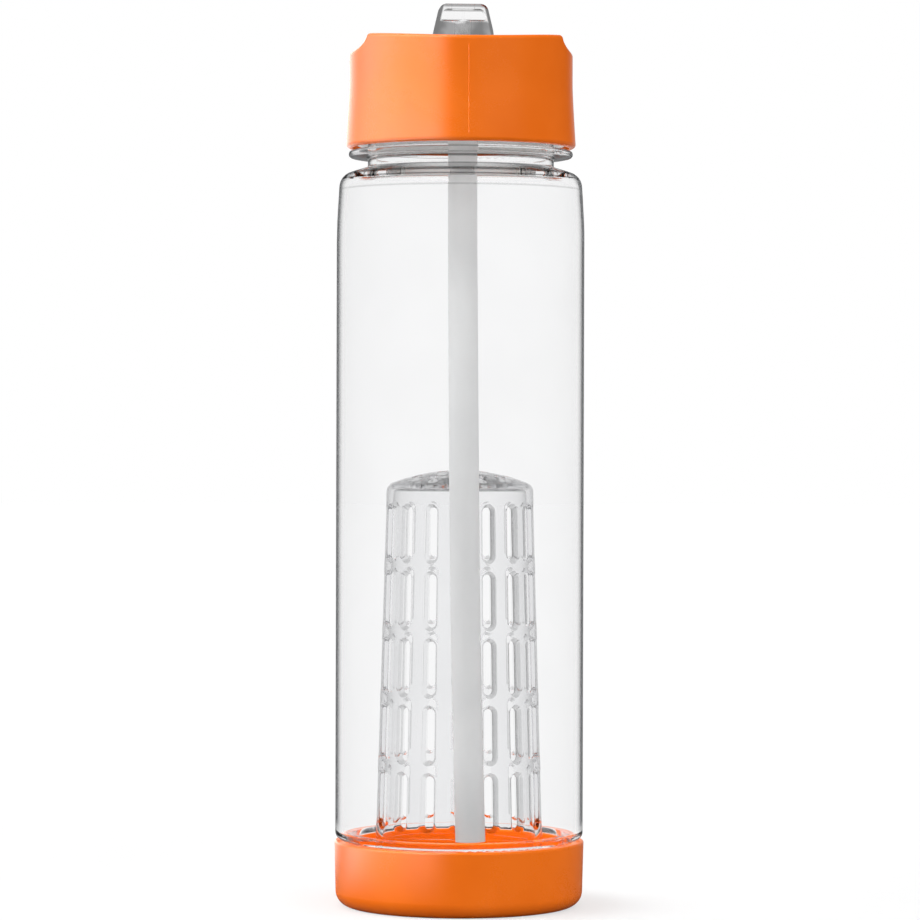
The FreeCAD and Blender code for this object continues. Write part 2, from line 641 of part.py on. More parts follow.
def bent_path(points):
    """Straight runs joined by tangent arcs as large as the runs allow."""
    edges = []
    start = points[0]
    for before, here, after in zip(points, points[1:], points[2:]):
        back = before - here
        ahead = after - here
        reach = min(back.Length, ahead.Length) * STRAW_BEND_SHARE
        back.normalize()
        ahead.normalize()
        half = back.getAngle(ahead) / 2
        radius = reach * math.tan(half)
        inward = (back + ahead).normalize()
        entry = here + back * reach
        leave = here + ahead * reach
        crown = here + inward * (radius / math.sin(half) - radius)
        edges.append(Part.LineSegment(start, entry).toShape())
        edges.append(Part.Arc(entry, crown, leave).toShape())
        start = leave
    edges.append(Part.LineSegment(start, points[-1]).toShape())
    return Part.Wire(edges)


def swept_rod(points, radius):
    """Round rod along the bent route."""
    ring = Part.Wire(Part.makeCircle(radius, points[0], points[1] - points[0]))
    return bent_path(points).makePipeShell([ring], True, False)


def straw():
    """Flexible tube along its route."""
    points = straw_points()
    return swept_rod(points, STRAW_RADIUS).cut(swept_rod(points, STRAW_RADIUS - STRAW_WALL))


os.makedirs("parts", exist_ok=True)
PIECES = (
    base_cap, base_seal, infuser_basket, bottle_body, lid_shell, lid_insert,
    lid_seal, flip_spout, spout_seal, vent_valve, straw,
)
for piece in PIECES:
    piece().exportStep("parts/" + piece.__name__ + ".step")
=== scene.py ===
import math

import bmesh
import bpy
from bpy.props import FloatProperty, FloatVectorProperty, IntProperty, PointerProperty
from bpy.types import Operator, Panel, PropertyGroup
from mathutils import Matrix, Vector
from mathutils.bvhtree import BVHTree


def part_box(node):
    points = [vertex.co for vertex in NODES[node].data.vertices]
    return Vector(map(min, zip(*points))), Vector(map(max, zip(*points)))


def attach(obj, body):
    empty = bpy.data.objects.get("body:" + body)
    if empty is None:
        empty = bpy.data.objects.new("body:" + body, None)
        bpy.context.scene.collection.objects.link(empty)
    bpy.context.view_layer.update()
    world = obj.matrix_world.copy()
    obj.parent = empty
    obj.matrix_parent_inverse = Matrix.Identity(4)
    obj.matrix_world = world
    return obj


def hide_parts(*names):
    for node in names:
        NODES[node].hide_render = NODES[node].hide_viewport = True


bl_info = {
    "name": "Fruit Infuser Bottle",
    "version": (1, 0, 0),
    "blender": (4, 5, 0),
    "location": "View3D > Sidebar > Infuser",
    "description": "Finishes, fine moulded detail and a plain studio for a clear bottle with a fruit basket",
    "category": "Object",
}

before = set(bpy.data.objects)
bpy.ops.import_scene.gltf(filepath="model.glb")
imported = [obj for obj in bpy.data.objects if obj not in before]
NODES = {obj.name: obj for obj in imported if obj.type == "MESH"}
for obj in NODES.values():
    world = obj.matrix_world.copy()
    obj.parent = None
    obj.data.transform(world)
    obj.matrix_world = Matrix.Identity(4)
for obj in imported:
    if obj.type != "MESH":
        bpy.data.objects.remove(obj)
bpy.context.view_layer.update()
MM = 0.001
FULL_TURN = 2 * math.pi


def length(name, description, millimetres):
    """A size, given in millimetres and kept in metres."""
    return FloatProperty(name=name, description=description, default=millimetres * MM,
                         unit="LENGTH", precision=5)


def angle(name, description, degrees):
    """An angle, given in degrees."""
    return FloatProperty(name=name, description=description, default=math.radians(degrees), subtype="ANGLE")


def share(name, description, value):
    """A factor from 0 to 1."""
    return FloatProperty(name=name, description=description, default=value,
                         min=0.0, max=1.0, subtype="FACTOR")


def amount(name, description, value):
    """A plain number, such as a brightness."""
    return FloatProperty(name=name, description=description, default=value, min=0.0)


def count(name, description, value):
    """A whole number of like things."""
    return IntProperty(name=name, description=description, default=value, min=1)


def colour(name, description, value):
    """A linear colour."""
    return FloatVectorProperty(name=name, description=description, default=value,
                               min=0.0, max=1.0, subtype="COLOR")


class InfuserFinishes(PropertyGroup):
    """Colours and surface levels of the finishes."""

    orange_deep: colour("Orange, Deep", "Darker tone of the orange plastic", (0.80, 0.142, 0.004))
    orange_light: colour("Orange, Light", "Lighter tone of the orange plastic", (0.87, 0.168, 0.007))
    orange_roughness: share("Orange Roughness", "Mean roughness of the satin orange plastic", 0.25)
    wall_tint: colour("Wall Tint", "Colour of the clear wall seen square on", (0.975, 0.976, 0.978))
    # painted shade: near-black colour standing in for the dark the clear wall shows where seen along its
    # surface
    wall_edge_shade: colour("Wall Edge", "Colour of the clear wall seen along the surface", (0.05, 0.052, 0.055))
    basket_tint: colour("Basket Tint", "Colour of the clear basket seen square on", (0.97, 0.971, 0.974))
    # painted shade: grey standing in for the dark the basket shows where seen along its surface
    basket_edge: colour("Basket Edge", "Colour of the basket seen along the surface", (0.5, 0.502, 0.506))
    smoke_tint: colour("Smoke Tint", "Colour of the grey clear spout seen square on", (0.99, 0.99, 0.99))
    # painted shade: near-black colour standing in for the dark the spout shows where seen along its surface
    smoke_edge: colour("Smoke Edge", "Colour of the grey spout seen along the surface", (0.05, 0.05, 0.055))
    milk: colour("Milk", "Colour of the milky straw", (0.55, 0.552, 0.552))
    milk_deep: colour("Milk, Deep", "Darker tone of the milky straw", (0.525, 0.527, 0.529))
    milk_foot: colour("Milk, Foot", "Greyer tone of the milky straw near the base", (0.43, 0.432, 0.434))
    # painted light: paler tone that lifts the straw where the lid shades it
    milk_top_light: colour("Milk, Top", "Paler tone of the milky straw near the lid", (0.82, 0.822, 0.82))
    natural: colour("Natural", "Colour of the lid's natural plastic liner", (0.72, 0.72, 0.71))
    silicone: colour("Silicone", "Colour of the silicone seals", (0.80, 0.80, 0.78))


class BasketSizes(PropertyGroup):
    """Sizes of the slotted fruit basket."""

    foot_radius: length("Foot Radius", "Outer radius at the open foot", 25.1)
    top_radius: length("Top Radius", "Outer radius where the wall meets the dome", 21.6)
    foot_height: length("Foot Height", "Height of the open foot above the floor", 3.2)
    height: length("Height", "Height of the tapered wall", 120.9)
    wall: length("Wall", "Wall thickness", 2.0)
    columns: count("Columns", "Slots round the basket", 16)
    rows: count("Rows", "Slots up the basket", 5)
    slot_length: length("Slot Length", "Length of one slot on the outside", 17.6)
    slot_width: length("Slot Width", "Width of one slot on the outside", 5.0)
    slot_flare: length("Slot Flare", "How much each side of a slot draws in towards the inside", 1.2)
    slot_pitch: length("Slot Pitch", "Distance between the rows", 19.5)
    first_row: length("First Row", "Height of the middle of the lowest row", 32.1)
    rim_round: length("Rim Round", "Rounding of the slots' outer rims", 0.4)
    foot_round: length("Foot Round", "Rounding of the foot's edges", 0.25)
    dome_radius: length("Dome Radius", "Radius of the domed top", 55.0)
    dome_flank: length("Dome Flank", "Width of the straight border of the dome", 3.1)
    dome_corner: length("Dome Corner", "Rounding between wall and dome on the outside", 3.0)
    dome_fillet: length("Dome Fillet", "Rounding between wall and dome on the inside", 1.4)
    outer_holes: count("Outer Holes", "Holes in the outer ring of the dome", 12)
    inner_holes: count("Inner Holes", "Holes in the inner ring of the dome", 6)
    hole_radius: length("Hole Radius", "Radius of the holes in the dome", 1.5)
    hole_round: length("Hole Round", "Rounding of the holes' rims", 0.3)
    hole_pitch: length("Hole Pitch", "Distance between the rings of holes", 7.0)
    hole_turn: angle("Hole Turn", "Turn of the rings of holes against the slots", 11.25)
    turn: angle("Turn", "Turn of the basket on its seat", -4.0)
    lugs: count("Lugs", "Bayonet lugs round the foot", 3)
    lug_radius: length("Lug Radius", "Outer radius of the bayonet lugs", 26.7)
    lug_low: length("Lug Low", "Lower face of the lugs", 5.0)
    lug_high: length("Lug High", "Upper face of the lugs", 8.3)
    lug_round: length("Lug Round", "Softened edge of the lugs", 0.35)
    lug_span: angle("Lug Span", "Angle that one lug takes up", 36.0)


class ThreadSizes(PropertyGroup):
    """Sizes of the rounded screw threads."""

    pitch: length("Pitch", "Rise in one turn", 5.0)
    bead: length("Bead", "Width of one thread bead", 2.0)
    sink: length("Sink", "How deep the bead is rooted in its wall", 0.3)
    lead: share("Lead", "Share of the bead's length that runs out at each end", 0.08)
    neck_radius: length("Neck Radius", "Outer radius of the neck", 27.4)
    neck_start: length("Neck Start", "Height at which the neck's thread starts", 225.6)
    neck_turns: amount("Neck Turns", "Turns of the neck's thread", 1.5)
    neck_depth: length("Neck Depth", "Height of the threads of neck and liner", 1.2)
    liner_radius: length("Liner Radius", "Inner radius of the lid's liner", 29.2)
    liner_start: length("Liner Start", "Height at which the liner's thread starts", 228.1)
    liner_turns: amount("Liner Turns", "Turns of the liner's thread", 1.5)
    lower_radius: length("Lower Neck Radius", "Outer radius of the lower neck", 32.6)
    lower_start: length("Lower Start", "Height at which the lower neck's thread starts", 10.6)
    lower_turns: amount("Lower Turns", "Turns of the lower neck's thread", 1.4)
    lower_depth: length("Lower Depth", "Height of the threads of lower neck and base", 0.8)
    base_radius: length("Base Radius", "Inner radius of the screw-on base", 33.8)
    base_start: length("Base Start", "Height at which the base's short thread starts", 16.9)
    base_turns: amount("Base Turns", "Turns of the base's short thread", 0.28)


class SeamSizes(PropertyGroup):
    """Sizes of the parting lines that the mould leaves."""

    width: length("Width", "Width of a parting line", 0.26)
    height: length("Height", "Height of a parting line", 0.07)
    lid_margin: length("Lid Margin", "From the lid's lower edge to its parting line", 2.0)
    lid_run: length("Lid Run", "Height that the lid's parting line covers", 25.8)
    spout_drop: length("Spout Drop", "From the spout's tip down to the foot of its parting line", 12.0)
    spout_run: length("Spout Run", "Height that the spout's parting line covers", 11.0)


class StudioSettings(PropertyGroup):
    """Camera, light and floor."""

    camera_distance: length("Camera Distance", "From the axis of the bottle to the camera", 1150.0)
    camera_turn: angle("Camera Turn", "Turn of the camera round the bottle", -4.0)
    camera_height: length("Camera Height", "Height of the camera above the floor", 141.1)
    target_height: length("Target Height", "Height that the camera looks at", 131.4)
    camera_roll: angle("Camera Roll", "Roll of the camera", 0.16)
    lens: FloatProperty(name="Lens", description="Focal length for a 36 mm sensor",
                        default=152.5, subtype="DISTANCE_CAMERA")
    key: amount("Key", "Strength of the large left lamp", 2.5)
    key_heading: angle("Key Heading", "Turn of the left lamp from the front to the left", 86.0)
    key_rise: angle("Key Rise", "Height of the left lamp above level", 38.0)
    key_spread: angle("Key Spread", "Angle that the left lamp fills", 55.0)
    fill: amount("Fill", "Strength of the large right lamp", 1.2)
    fill_heading: angle("Fill Heading", "Turn of the right lamp from the front to the left", -38.0)
    fill_rise: angle("Fill Rise", "Height of the right lamp above level", 30.0)
    fill_spread: angle("Fill Spread", "Angle that the right lamp fills", 60.0)
    ambient: amount("Ambient", "Level of the light from all round", 0.75)
    inside: amount("Inside", "Level of the light that comes in level through clear walls", 1.0)
    overhead: amount("Overhead", "Level of the light that comes in from above through clear walls", 2.5)
    panel: amount("Panel", "Brightness of the left panel in satin reflections", 17.0)
    back_glow: amount("Back Glow", "Brightness of the wall behind in satin reflections", 0.6)
    gloss_level: amount("Gloss Level", "Brightness of the room in satin reflections", 0.03)
    mirror_level: amount("Mirror Level", "Brightness of room and floor in sharp reflections", 0.15)
    # painted reflection: the floor glows with the panel, for satin reflections only
    floor_panel_glow: share("Floor Panel", "Share of the panel's brightness that the floor returns", 0.7)
    floor_radius: length("Floor Radius", "Radius of the floor", 6000.0)
    floor_colour: colour("Floor", "Colour of the pale floor", (0.28, 0.28, 0.28))


GROUPS = {
    "infuser_finishes": InfuserFinishes,
    "infuser_basket": BasketSizes,
    "infuser_threads": ThreadSizes,
    "infuser_seams": SeamSizes,
    "infuser_studio": StudioSettings,
}


# Node helpers


class Wire:
    """An output of a node; arithmetic with it adds math nodes to its tree."""

    def __init__(self, socket):
        self.socket = socket
        self.tree = socket.id_data

    def __add__(self, other):
        return math_node("ADD", self, other)

    def __sub__(self, other):
        return math_node("SUBTRACT", self, other)

    def __rsub__(self, other):
        return math_node("SUBTRACT", other, self)

    def __mul__(self, other):
        return math_node("MULTIPLY", self, other)

    def __truediv__(self, other):
        return math_node("DIVIDE", self, other)

    def __rtruediv__(self, other):
        return math_node("DIVIDE", other, self)

    def __abs__(self):
        return math_node("ABSOLUTE", self)

    def clamped(self):
        """This math node's result, held between 0 and 1."""
        self.socket.node.use_clamp = True
        return self

    __radd__ = __add__
    __rmul__ = __mul__


def feed(node, inputs):
    """Link wires into a node's inputs, or set the inputs' own values."""
    for key, value in inputs.items():
        socket = node.inputs[key]
        if isinstance(value, Wire):
            value.tree.links.new(value.socket, socket)
        elif socket.type == "RGBA":
            socket.default_value = (*value, 1.0)
        else:
            socket.default_value = value


def add(tree, kind, inputs=None, **settings):
    """New node with its settings made and its inputs fed."""
    node = tree.nodes.new(kind)
    for key, value in settings.items():
        setattr(node, key, value)
    feed(node, inputs or {})
    return node


def wire(tree, kind, inputs=None, output=0, **settings):
    """One output of a new node."""
    return Wire(add(tree, kind, inputs, **settings).outputs[output])


def wires(node):
    """All outputs of a node by name."""
    return {socket.name: Wire(socket) for socket in node.outputs}


def tree_of(values):
    """Tree of the first wire among some values."""
    return next(value.tree for value in values if isinstance(value, Wire))


def math_node(operation, *values):
    """Result of a math node fed with wires or numbers."""
    return wire(tree_of(values), "ShaderNodeMath", dict(enumerate(values)), operation=operation)


def ramp(value, low, high, start=0.0, end=1.0):
    """Smooth step from start to end while a value goes from low to high."""
    return wire(value.tree, "ShaderNodeMapRange", dict(enumerate((value, low, high, start, end))),
                interpolation_type="SMOOTHSTEP", clamp=True)


def fade(value, low, high):
    """Smooth step from 1 to 0 while a value goes from low to high."""
    return ramp(value, low, high, 1.0, 0.0)


def mixed(factor, first, second):
    """Mix of two colours."""
    return wire(factor.tree, "ShaderNodeMix", {0: factor, 6: first, 7: second}, 2, data_type="RGBA")


def split(vector):
    """The three parts of a vector."""
    return list(wires(add(vector.tree, "ShaderNodeSeparateXYZ", {0: vector})).values())


def joined(*parts):
    """Vector of three wires or numbers."""
    return wire(tree_of(parts), "ShaderNodeCombineXYZ", dict(enumerate(parts)))


def on_circle(radius, turn, height):
    """Vector to a radius, a turn and a height."""
    return joined(radius * math_node("COSINE", turn), radius * math_node("SINE", turn), height)


def noise(place, scale, detail=2.0):
    """Noise at a place."""
    return wire(place.tree, "ShaderNodeTexNoise", {"Vector": place, "Scale": scale, "Detail": detail})


def passed(kind, geometry, **inputs):
    """Geometry that has passed through a node."""
    return wire(geometry.tree, "GeometryNode" + kind, {"Geometry": geometry, **inputs})


def own_place(tree):
    """Place on the object, in its own coordinates."""
    return wire(tree, "ShaderNodeTexCoord", output="Object")


def node_group(kind, name, inputs, outputs):
    """Empty node group with named sockets; gives the tree, its inputs as wires and its output node."""
    tree = bpy.data.node_groups.new(name, kind)
    for in_out, sockets in (("INPUT", inputs), ("OUTPUT", outputs)):
        for socket_type, labels in sockets.items():
            for label in labels:
                tree.interface.new_socket(label, in_out=in_out, socket_type="NodeSocket" + socket_type)
    return tree, wires(add(tree, "NodeGroupInput")), add(tree, "NodeGroupOutput")


def empty_tree(owner):
    """Node tree of a material or a world, cleared."""
    owner.use_nodes = True
    owner.node_tree.nodes.clear()
    return owner.node_tree


# Surface effects shared by the finishes

# levels of noise between which the tone goes from dark to light
TONE_RANGE = (0.3, 0.7)
# middle level of tone and grain, and share of the grain in the uneven polish
MIDDLE = 0.5
GRAIN_SHARE = 0.5


def moulded_surface():
    """Slow tone drift, uneven polish and fine grain of a moulded skin."""
    name = "Moulded Surface"
    if name in bpy.data.node_groups:
        return bpy.data.node_groups[name]
    tree, given, result = node_group(
        "ShaderNodeTree", name,
        {"Float": ("Tone Scale", "Grain Scale", "Roughness", "Roughness Spread")},
        {"Float": ("Tone", "Roughness", "Height")})
    place = own_place(tree)
    grain = noise(place, given["Grain Scale"])
    tone = ramp(noise(place, given["Tone Scale"], detail=3.0), *TONE_RANGE)
    swing = (tone - MIDDLE + (grain - MIDDLE) * GRAIN_SHARE) * given["Roughness Spread"]
    feed(result, {"Tone": tone, "Roughness": (given["Roughness"] + swing).clamped(), "Height": grain})
    return tree


def flow_ripple():
    """Long upright ripples that drawn clear plastic keeps."""
    name = "Flow Ripple"
    if name in bpy.data.node_groups:
        return bpy.data.node_groups[name]
    tree, given, result = node_group(
        "ShaderNodeTree", name, {"Float": ("Scale", "Length")}, {"Float": ("Height",)})
    x, y, z = split(own_place(tree))
    drawn = joined(x, y, z * given["Length"])
    feed(result, {"Height": noise(drawn, given["Scale"], detail=1.0)})
    return tree


def moulded(tree, tone_scale, grain_scale, roughness, spread):
    """Tone, roughness and height of a moulded skin."""
    return wires(add(tree, "ShaderNodeGroup", {
        "Tone Scale": tone_scale,
        "Grain Scale": grain_scale,
        "Roughness": roughness,
        "Roughness Spread": spread,
    }, node_tree=moulded_surface()))


def rippled(tree, scale, drawn):
    """Height of flow ripples."""
    return wire(tree, "ShaderNodeGroup", {"Scale": scale, "Length": drawn}, node_tree=flow_ripple())


def bumped(height, strength, millimetres):
    """Normal of a surface bumped by a height."""
    return wire(height.tree, "ShaderNodeBump", {
        "Height": height, "Strength": strength, "Distance": millimetres * MM})


def blank_material(name):
    """Tree, Principled shader and output of a new material."""
    tree = empty_tree(bpy.data.materials.new(name))
    output = add(tree, "ShaderNodeOutputMaterial")
    shader = add(tree, "ShaderNodeBsdfPrincipled")
    feed(output, {"Surface": Wire(shader.outputs[0])})
    return tree, shader, output


def darker(tint, factor):
    """A colour times a factor."""
    return [channel * factor for channel in tint]


# Opaque finishes

# heights between which the straw's grey foot ends and its painted light near the lid starts
STRAW_FOOT = (26.0 * MM, 46.0 * MM)
STRAW_TOP_LIGHT = (190.0 * MM, 222.0 * MM)


def solid_plastic(name, deep, light, tone_scale, grain_scale, roughness, spread,
                  ior, specular, grain, grain_mm):
    """Opaque moulded skin with a fine grain."""
    tree, shader, output = blank_material(name)
    skin = moulded(tree, tone_scale, grain_scale, roughness, spread)
    feed(shader, {
        "Base Color": mixed(skin["Tone"], deep, light),
        "Roughness": skin["Roughness"],
        "IOR": ior,
        "Specular IOR Level": specular,
        "Normal": bumped(skin["Height"], grain, grain_mm),
    })


def satin_orange(look):
    """Satin orange plastic of lid and base."""
    solid_plastic("satin_orange", look.orange_deep, look.orange_light,
                  tone_scale=28.0, grain_scale=2600.0, roughness=look.orange_roughness, spread=0.08,
                  ior=1.49, specular=0.2, grain=0.12, grain_mm=0.04)


def natural_liner(look):
    """Uncoloured plastic of the lid's liner."""
    solid_plastic("natural_liner", darker(look.natural, 0.93), look.natural,
                  tone_scale=45.0, grain_scale=2400.0, roughness=0.38, spread=0.1,
                  ior=1.49, specular=0.5, grain=0.12, grain_mm=0.04)


def soft_silicone(look):
    """Matt pale silicone of the seals."""
    solid_plastic("soft_silicone", darker(look.silicone, 0.92), look.silicone,
                  tone_scale=120.0, grain_scale=3200.0, roughness=0.55, spread=0.15,
                  ior=1.41, specular=0.5, grain=0.15, grain_mm=0.05)


def milky_tube(look):
    """Milky plastic of the straw, greyer at its foot, with painted light near the lid."""
    tree, shader, output = blank_material("milky_tube")
    skin = moulded(tree, tone_scale=60.0, grain_scale=1800.0, roughness=0.42, spread=0.1)
    height = split(own_place(tree))[2]
    foot = fade(height, *STRAW_FOOT)
    # painted light near the lid, against the lid's shade
    top = ramp(height, *STRAW_TOP_LIGHT)
    tone = mixed(foot, mixed(skin["Tone"], look.milk_deep, look.milk), look.milk_foot)
    feed(shader, {
        "Base Color": mixed(top, tone, look.milk_top_light),
        "Roughness": skin["Roughness"],
        "IOR": 1.4,
        "Transmission Weight": 0.3,
        "Normal": bumped(rippled(tree, scale=300.0, drawn=0.05), 0.3, 0.06),
    })


# Clear finishes

# heights between which the base's rim ends
BASE_RIM = (21.0 * MM, 26.0 * MM)
# turn from the view between which a wall starts to count as seen aslant
SLANT = (0.05, 0.8)
# shares of the clear colour where the tone drifts and in the painted shade where the wall is seen aslant
DRIFT_TONE = 0.985
SLANT_SHADE = 0.9
# upward share of a normal between which a face starts to count as level
LEVEL_FACE = (0.5, 0.85)
# outward share of a normal between which a face stops running across the basket's wall
ACROSS_FACE = (0.3, 0.8)
# sideways share of a normal between which a face stops looking left
LEFT_FACE = (-0.5, 0.3)
# places from front to back between which the basket's front ends
BASKET_FRONT = (-12.0 * MM, -5.0 * MM)
# shares of the clear colour in the painted shade on slot walls that look right or left and on the slots'
# ends
SLOT_RIGHT_SHADE = 0.88
SLOT_LEFT_SHADE = 0.07
SLOT_END_SHADE = 0.5
# the spout's outline: height of its top, half its width there and how it widens downwards
SPOUT_TOP = 264.8 * MM
SPOUT_HALF_WIDTH = 6.8 * MM
SPOUT_TAPER = 2.0 / 8.7
# heights between which the spout's painted grey root ends, and how far the waves lower them
SPOUT_ROOT = (260.2 * MM, 261.4 * MM)
ROOT_WAVE = 2.4 * MM
WAVE_SCALE = 160.0
WAVE_STREAK = (0.35, 0.65)
# distances past the spout's outline between which the painted shade of its side walls starts
SPOUT_SIDES = (-1.3 * MM, -0.8 * MM)
# shares of the clear colour in the painted shade of the root's streaks, the side walls and the level faces
ROOT_SHADE_DEEP = 0.07
ROOT_SHADE_PALE = 0.2
SIDE_SHADE = 0.06
LEVEL_SHADE = 0.2
# share of a painted neck shade line's half width that has its full tone
LINE_CORE = 0.3
# painted shade lines, standing in for the dark that the bends of neck, flange and shoulder show
PAINTED_NECK_SHADE_LINES = (
    # height and half width in millimetres, tone
    (221.9, 0.35, 0.3),
    (219.7, 0.6, 0.12),
    (217.3, 0.35, 0.25),
    (215.4, 0.7, 0.08),
    (213.9, 0.35, 0.15),
    (210.8, 0.4, 0.6),
)


def painted_neck_shade(body, tint, place, normal, direct):
    """Painted shade: thin grey lines where the neck turns into the flange and the shoulder."""
    height = split(place)[2]
    for middle, half, tone in PAINTED_NECK_SHADE_LINES:
        line = fade(abs(height - middle * MM), half * LINE_CORE * MM, half * MM)
        body = mixed(line * direct, body, darker(tint, tone))
    return body


def painted_slot_shade(body, tint, place, normal, direct):
    """Painted shade on the basket's faces across the wall in front, deep on those that look left, and on its
    level faces.
    """
    x, y, z = split(place)
    face_x, face_y, face_z = split(normal)
    outward = wire(x.tree, "ShaderNodeVectorMath", {0: joined(x, y, 0.0)}, operation="NORMALIZE")
    along = wire(x.tree, "ShaderNodeVectorMath", {0: outward, 1: normal}, "Value", operation="DOT_PRODUCT")
    across = fade(abs(along), *ACROSS_FACE)
    front = fade(y, *BASKET_FRONT)
    left = fade(face_x, *LEFT_FACE)
    # painted shade: one side of each slot darker, as if lit from the left
    shade = mixed(left, darker(tint, SLOT_RIGHT_SHADE), darker(tint, SLOT_LEFT_SHADE))
    body = mixed(across * front * direct, body, shade)
    ends = ramp(abs(face_z), *LEVEL_FACE)
    return mixed(ends * direct, body, darker(tint, SLOT_END_SHADE))


def painted_spout_shade(body, tint, place, normal, direct):
    """Painted shade towards the spout's thick root, in its side walls and on its level faces."""
    x, y, z = split(place)
    wave = noise(place, WAVE_SCALE)
    root = fade(z + wave * ROOT_WAVE, *SPOUT_ROOT)
    past_side = abs(x) - ((SPOUT_TOP - z) * SPOUT_TAPER + SPOUT_HALF_WIDTH)
    sides = ramp(past_side, *SPOUT_SIDES)
    streak = ramp(wave, *WAVE_STREAK)
    shade = mixed(streak, darker(tint, ROOT_SHADE_DEEP), darker(tint, ROOT_SHADE_PALE))
    shade = mixed(sides, shade, darker(tint, SIDE_SHADE))
    body = mixed(math_node("MAXIMUM", root, sides) * direct, body, shade)
    level = ramp(abs(split(normal)[2]), *LEVEL_FACE)
    return mixed(level * (1.0 - direct), body, darker(tint, LEVEL_SHADE))


def clear_plastic(name, tint, edge, edge_from, edge_to, ripple_mm, density, ior, first_hit, paint_shade):
    """Clear plastic with painted shade where the view runs along it, above the base's rim, plus each
    finish's own painted shade.
    """
    tree, shader, output = blank_material(name)
    skin = moulded(tree, tone_scale=40.0, grain_scale=900.0, roughness=0.002, spread=0.002)
    place = own_place(tree)
    world_normal = wire(tree, "ShaderNodeNewGeometry", output="Normal")
    normal = wire(tree, "ShaderNodeVectorTransform", {0: world_normal},
                  vector_type="NORMAL", convert_from="WORLD", convert_to="OBJECT")
    facing = wire(tree, "ShaderNodeLayerWeight", {"Blend": 0.5}, "Facing")
    path = wires(add(tree, "ShaderNodeLightPath"))
    direct = path["Is Camera Ray"] if first_hit else (1.0 - path["Diffuse Depth"]).clamped()
    above = ramp(split(place)[2], *BASE_RIM) * direct
    # painted shade where the wall is seen aslant, and darker painted shade where the view runs along it
    slant_shade = ramp(facing, *SLANT) * above
    rim = ramp(facing, edge_from, edge_to) * above
    body = mixed(skin["Tone"], darker(tint, DRIFT_TONE), tint)
    body = mixed(slant_shade, body, darker(tint, SLANT_SHADE))
    # each finish's own painted shade, from its callback
    body = paint_shade(body, tint, place, normal, direct)
    feed(shader, {
        "Base Color": mixed(rim, body, edge),
        "Roughness": skin["Roughness"],
        "IOR": ior,
        "Transmission Weight": 1.0,
        "Specular Tint": (0.25, 0.25, 0.25),
        "Normal": bumped(rippled(tree, scale=70.0, drawn=0.12), 0.25, ripple_mm),
    })
    absorb = wire(tree, "ShaderNodeVolumeAbsorption", {"Color": (0.85, 0.85, 0.855), "Density": density})
    feed(output, {"Volume": absorb})


def clear_wall(look):
    """Clear plastic of the bottle."""
    clear_plastic("clear_wall", look.wall_tint, look.wall_edge_shade, edge_from=0.66, edge_to=0.84,
                  ripple_mm=0.06, density=25.0, ior=1.1, first_hit=True, paint_shade=painted_neck_shade)


def clear_basket(look):
    """Clear plastic of the fruit basket."""
    clear_plastic("clear_basket", look.basket_tint, look.basket_edge, edge_from=0.5, edge_to=0.9,
                  ripple_mm=0.05, density=80.0, ior=1.08, first_hit=False, paint_shade=painted_slot_shade)


def smoke_clear(look):
    """Grey clear plastic of the spout."""
    clear_plastic("smoke_clear", look.smoke_tint, look.smoke_edge, edge_from=0.5, edge_to=0.9,
                  ripple_mm=0.03, density=150.0, ior=1.06, first_hit=True, paint_shade=painted_spout_shade)


FINISHES = {make.__name__: make for make in (
    satin_orange, natural_liner, soft_silicone, milky_tube, clear_wall, clear_basket, smoke_clear)}


def finish(name):
    """The named finish, made on first use."""
    if name not in bpy.data.materials:
        FINISHES[name](bpy.context.scene.infuser_finishes)
    return bpy.data.materials[name]


def dress_node(node, finish_name):
    """Give a solid of the frame its finish."""
    target = NODES[node]
    if not target.material_slots:
        target.data.materials.append(finish(finish_name))
    for slot in target.material_slots:
        slot.material = finish(finish_name)
    target.visible_shadow = not finish_name.startswith("clear")


# Mesh helpers


def new_piece(name, verts, faces):
    """Mesh object at the origin in the scene."""
    mesh = bpy.data.meshes.new(name)
    mesh.from_pydata(verts, [], faces)
    mesh.validate()
    piece = bpy.data.objects.new(name, mesh)
    bpy.context.scene.collection.objects.link(piece)
    return piece


def tidy_mesh(piece, merge=1e-6):
    """Merge doubles, turn faces outwards and shade smooth."""
    work = bmesh.new()
    work.from_mesh(piece.data)
    bmesh.ops.remove_doubles(work, verts=work.verts, dist=merge)
    bmesh.ops.dissolve_degenerate(work, edges=work.edges, dist=merge / 10)
    bmesh.ops.recalc_face_normals(work, faces=work.faces)
    open_edges = sum(1 for edge in work.edges if len(edge.link_faces) != 2)
    for face in work.faces:
        face.smooth = True
    work.to_mesh(piece.data)
    work.free()
    if open_edges:
        raise RuntimeError(f"{piece.name} has {open_edges} open edges")


def run_tree(piece, tree, sizes, values):
    """Evaluate a node tree, fed with like-named sizes and with values, and keep the result as plain mesh."""
    modifier = piece.modifiers.new(tree.name, "NODES")
    modifier.node_group = tree
    for item in tree.interface.items_tree:
        value = values.get(item.name, getattr(sizes, item.name.lower().replace(" ", "_"), None))
        if item.in_out == "INPUT" and value is not None:
            modifier[item.identifier] = value
    graph = bpy.context.evaluated_depsgraph_get()
    mesh = bpy.data.meshes.new_from_object(piece.evaluated_get(graph))
    piece.modifiers.remove(modifier)
    old = piece.data
    piece.data = mesh
    bpy.data.meshes.remove(old)
    mesh.name = piece.name


def hand_over(piece, body, slot_name, *replaced):
    """Let a finished piece ride on its body."""
    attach(piece, body)
    piece.visible_shadow = slot_name != "clear_plastic"
    if replaced:
        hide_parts(*replaced)


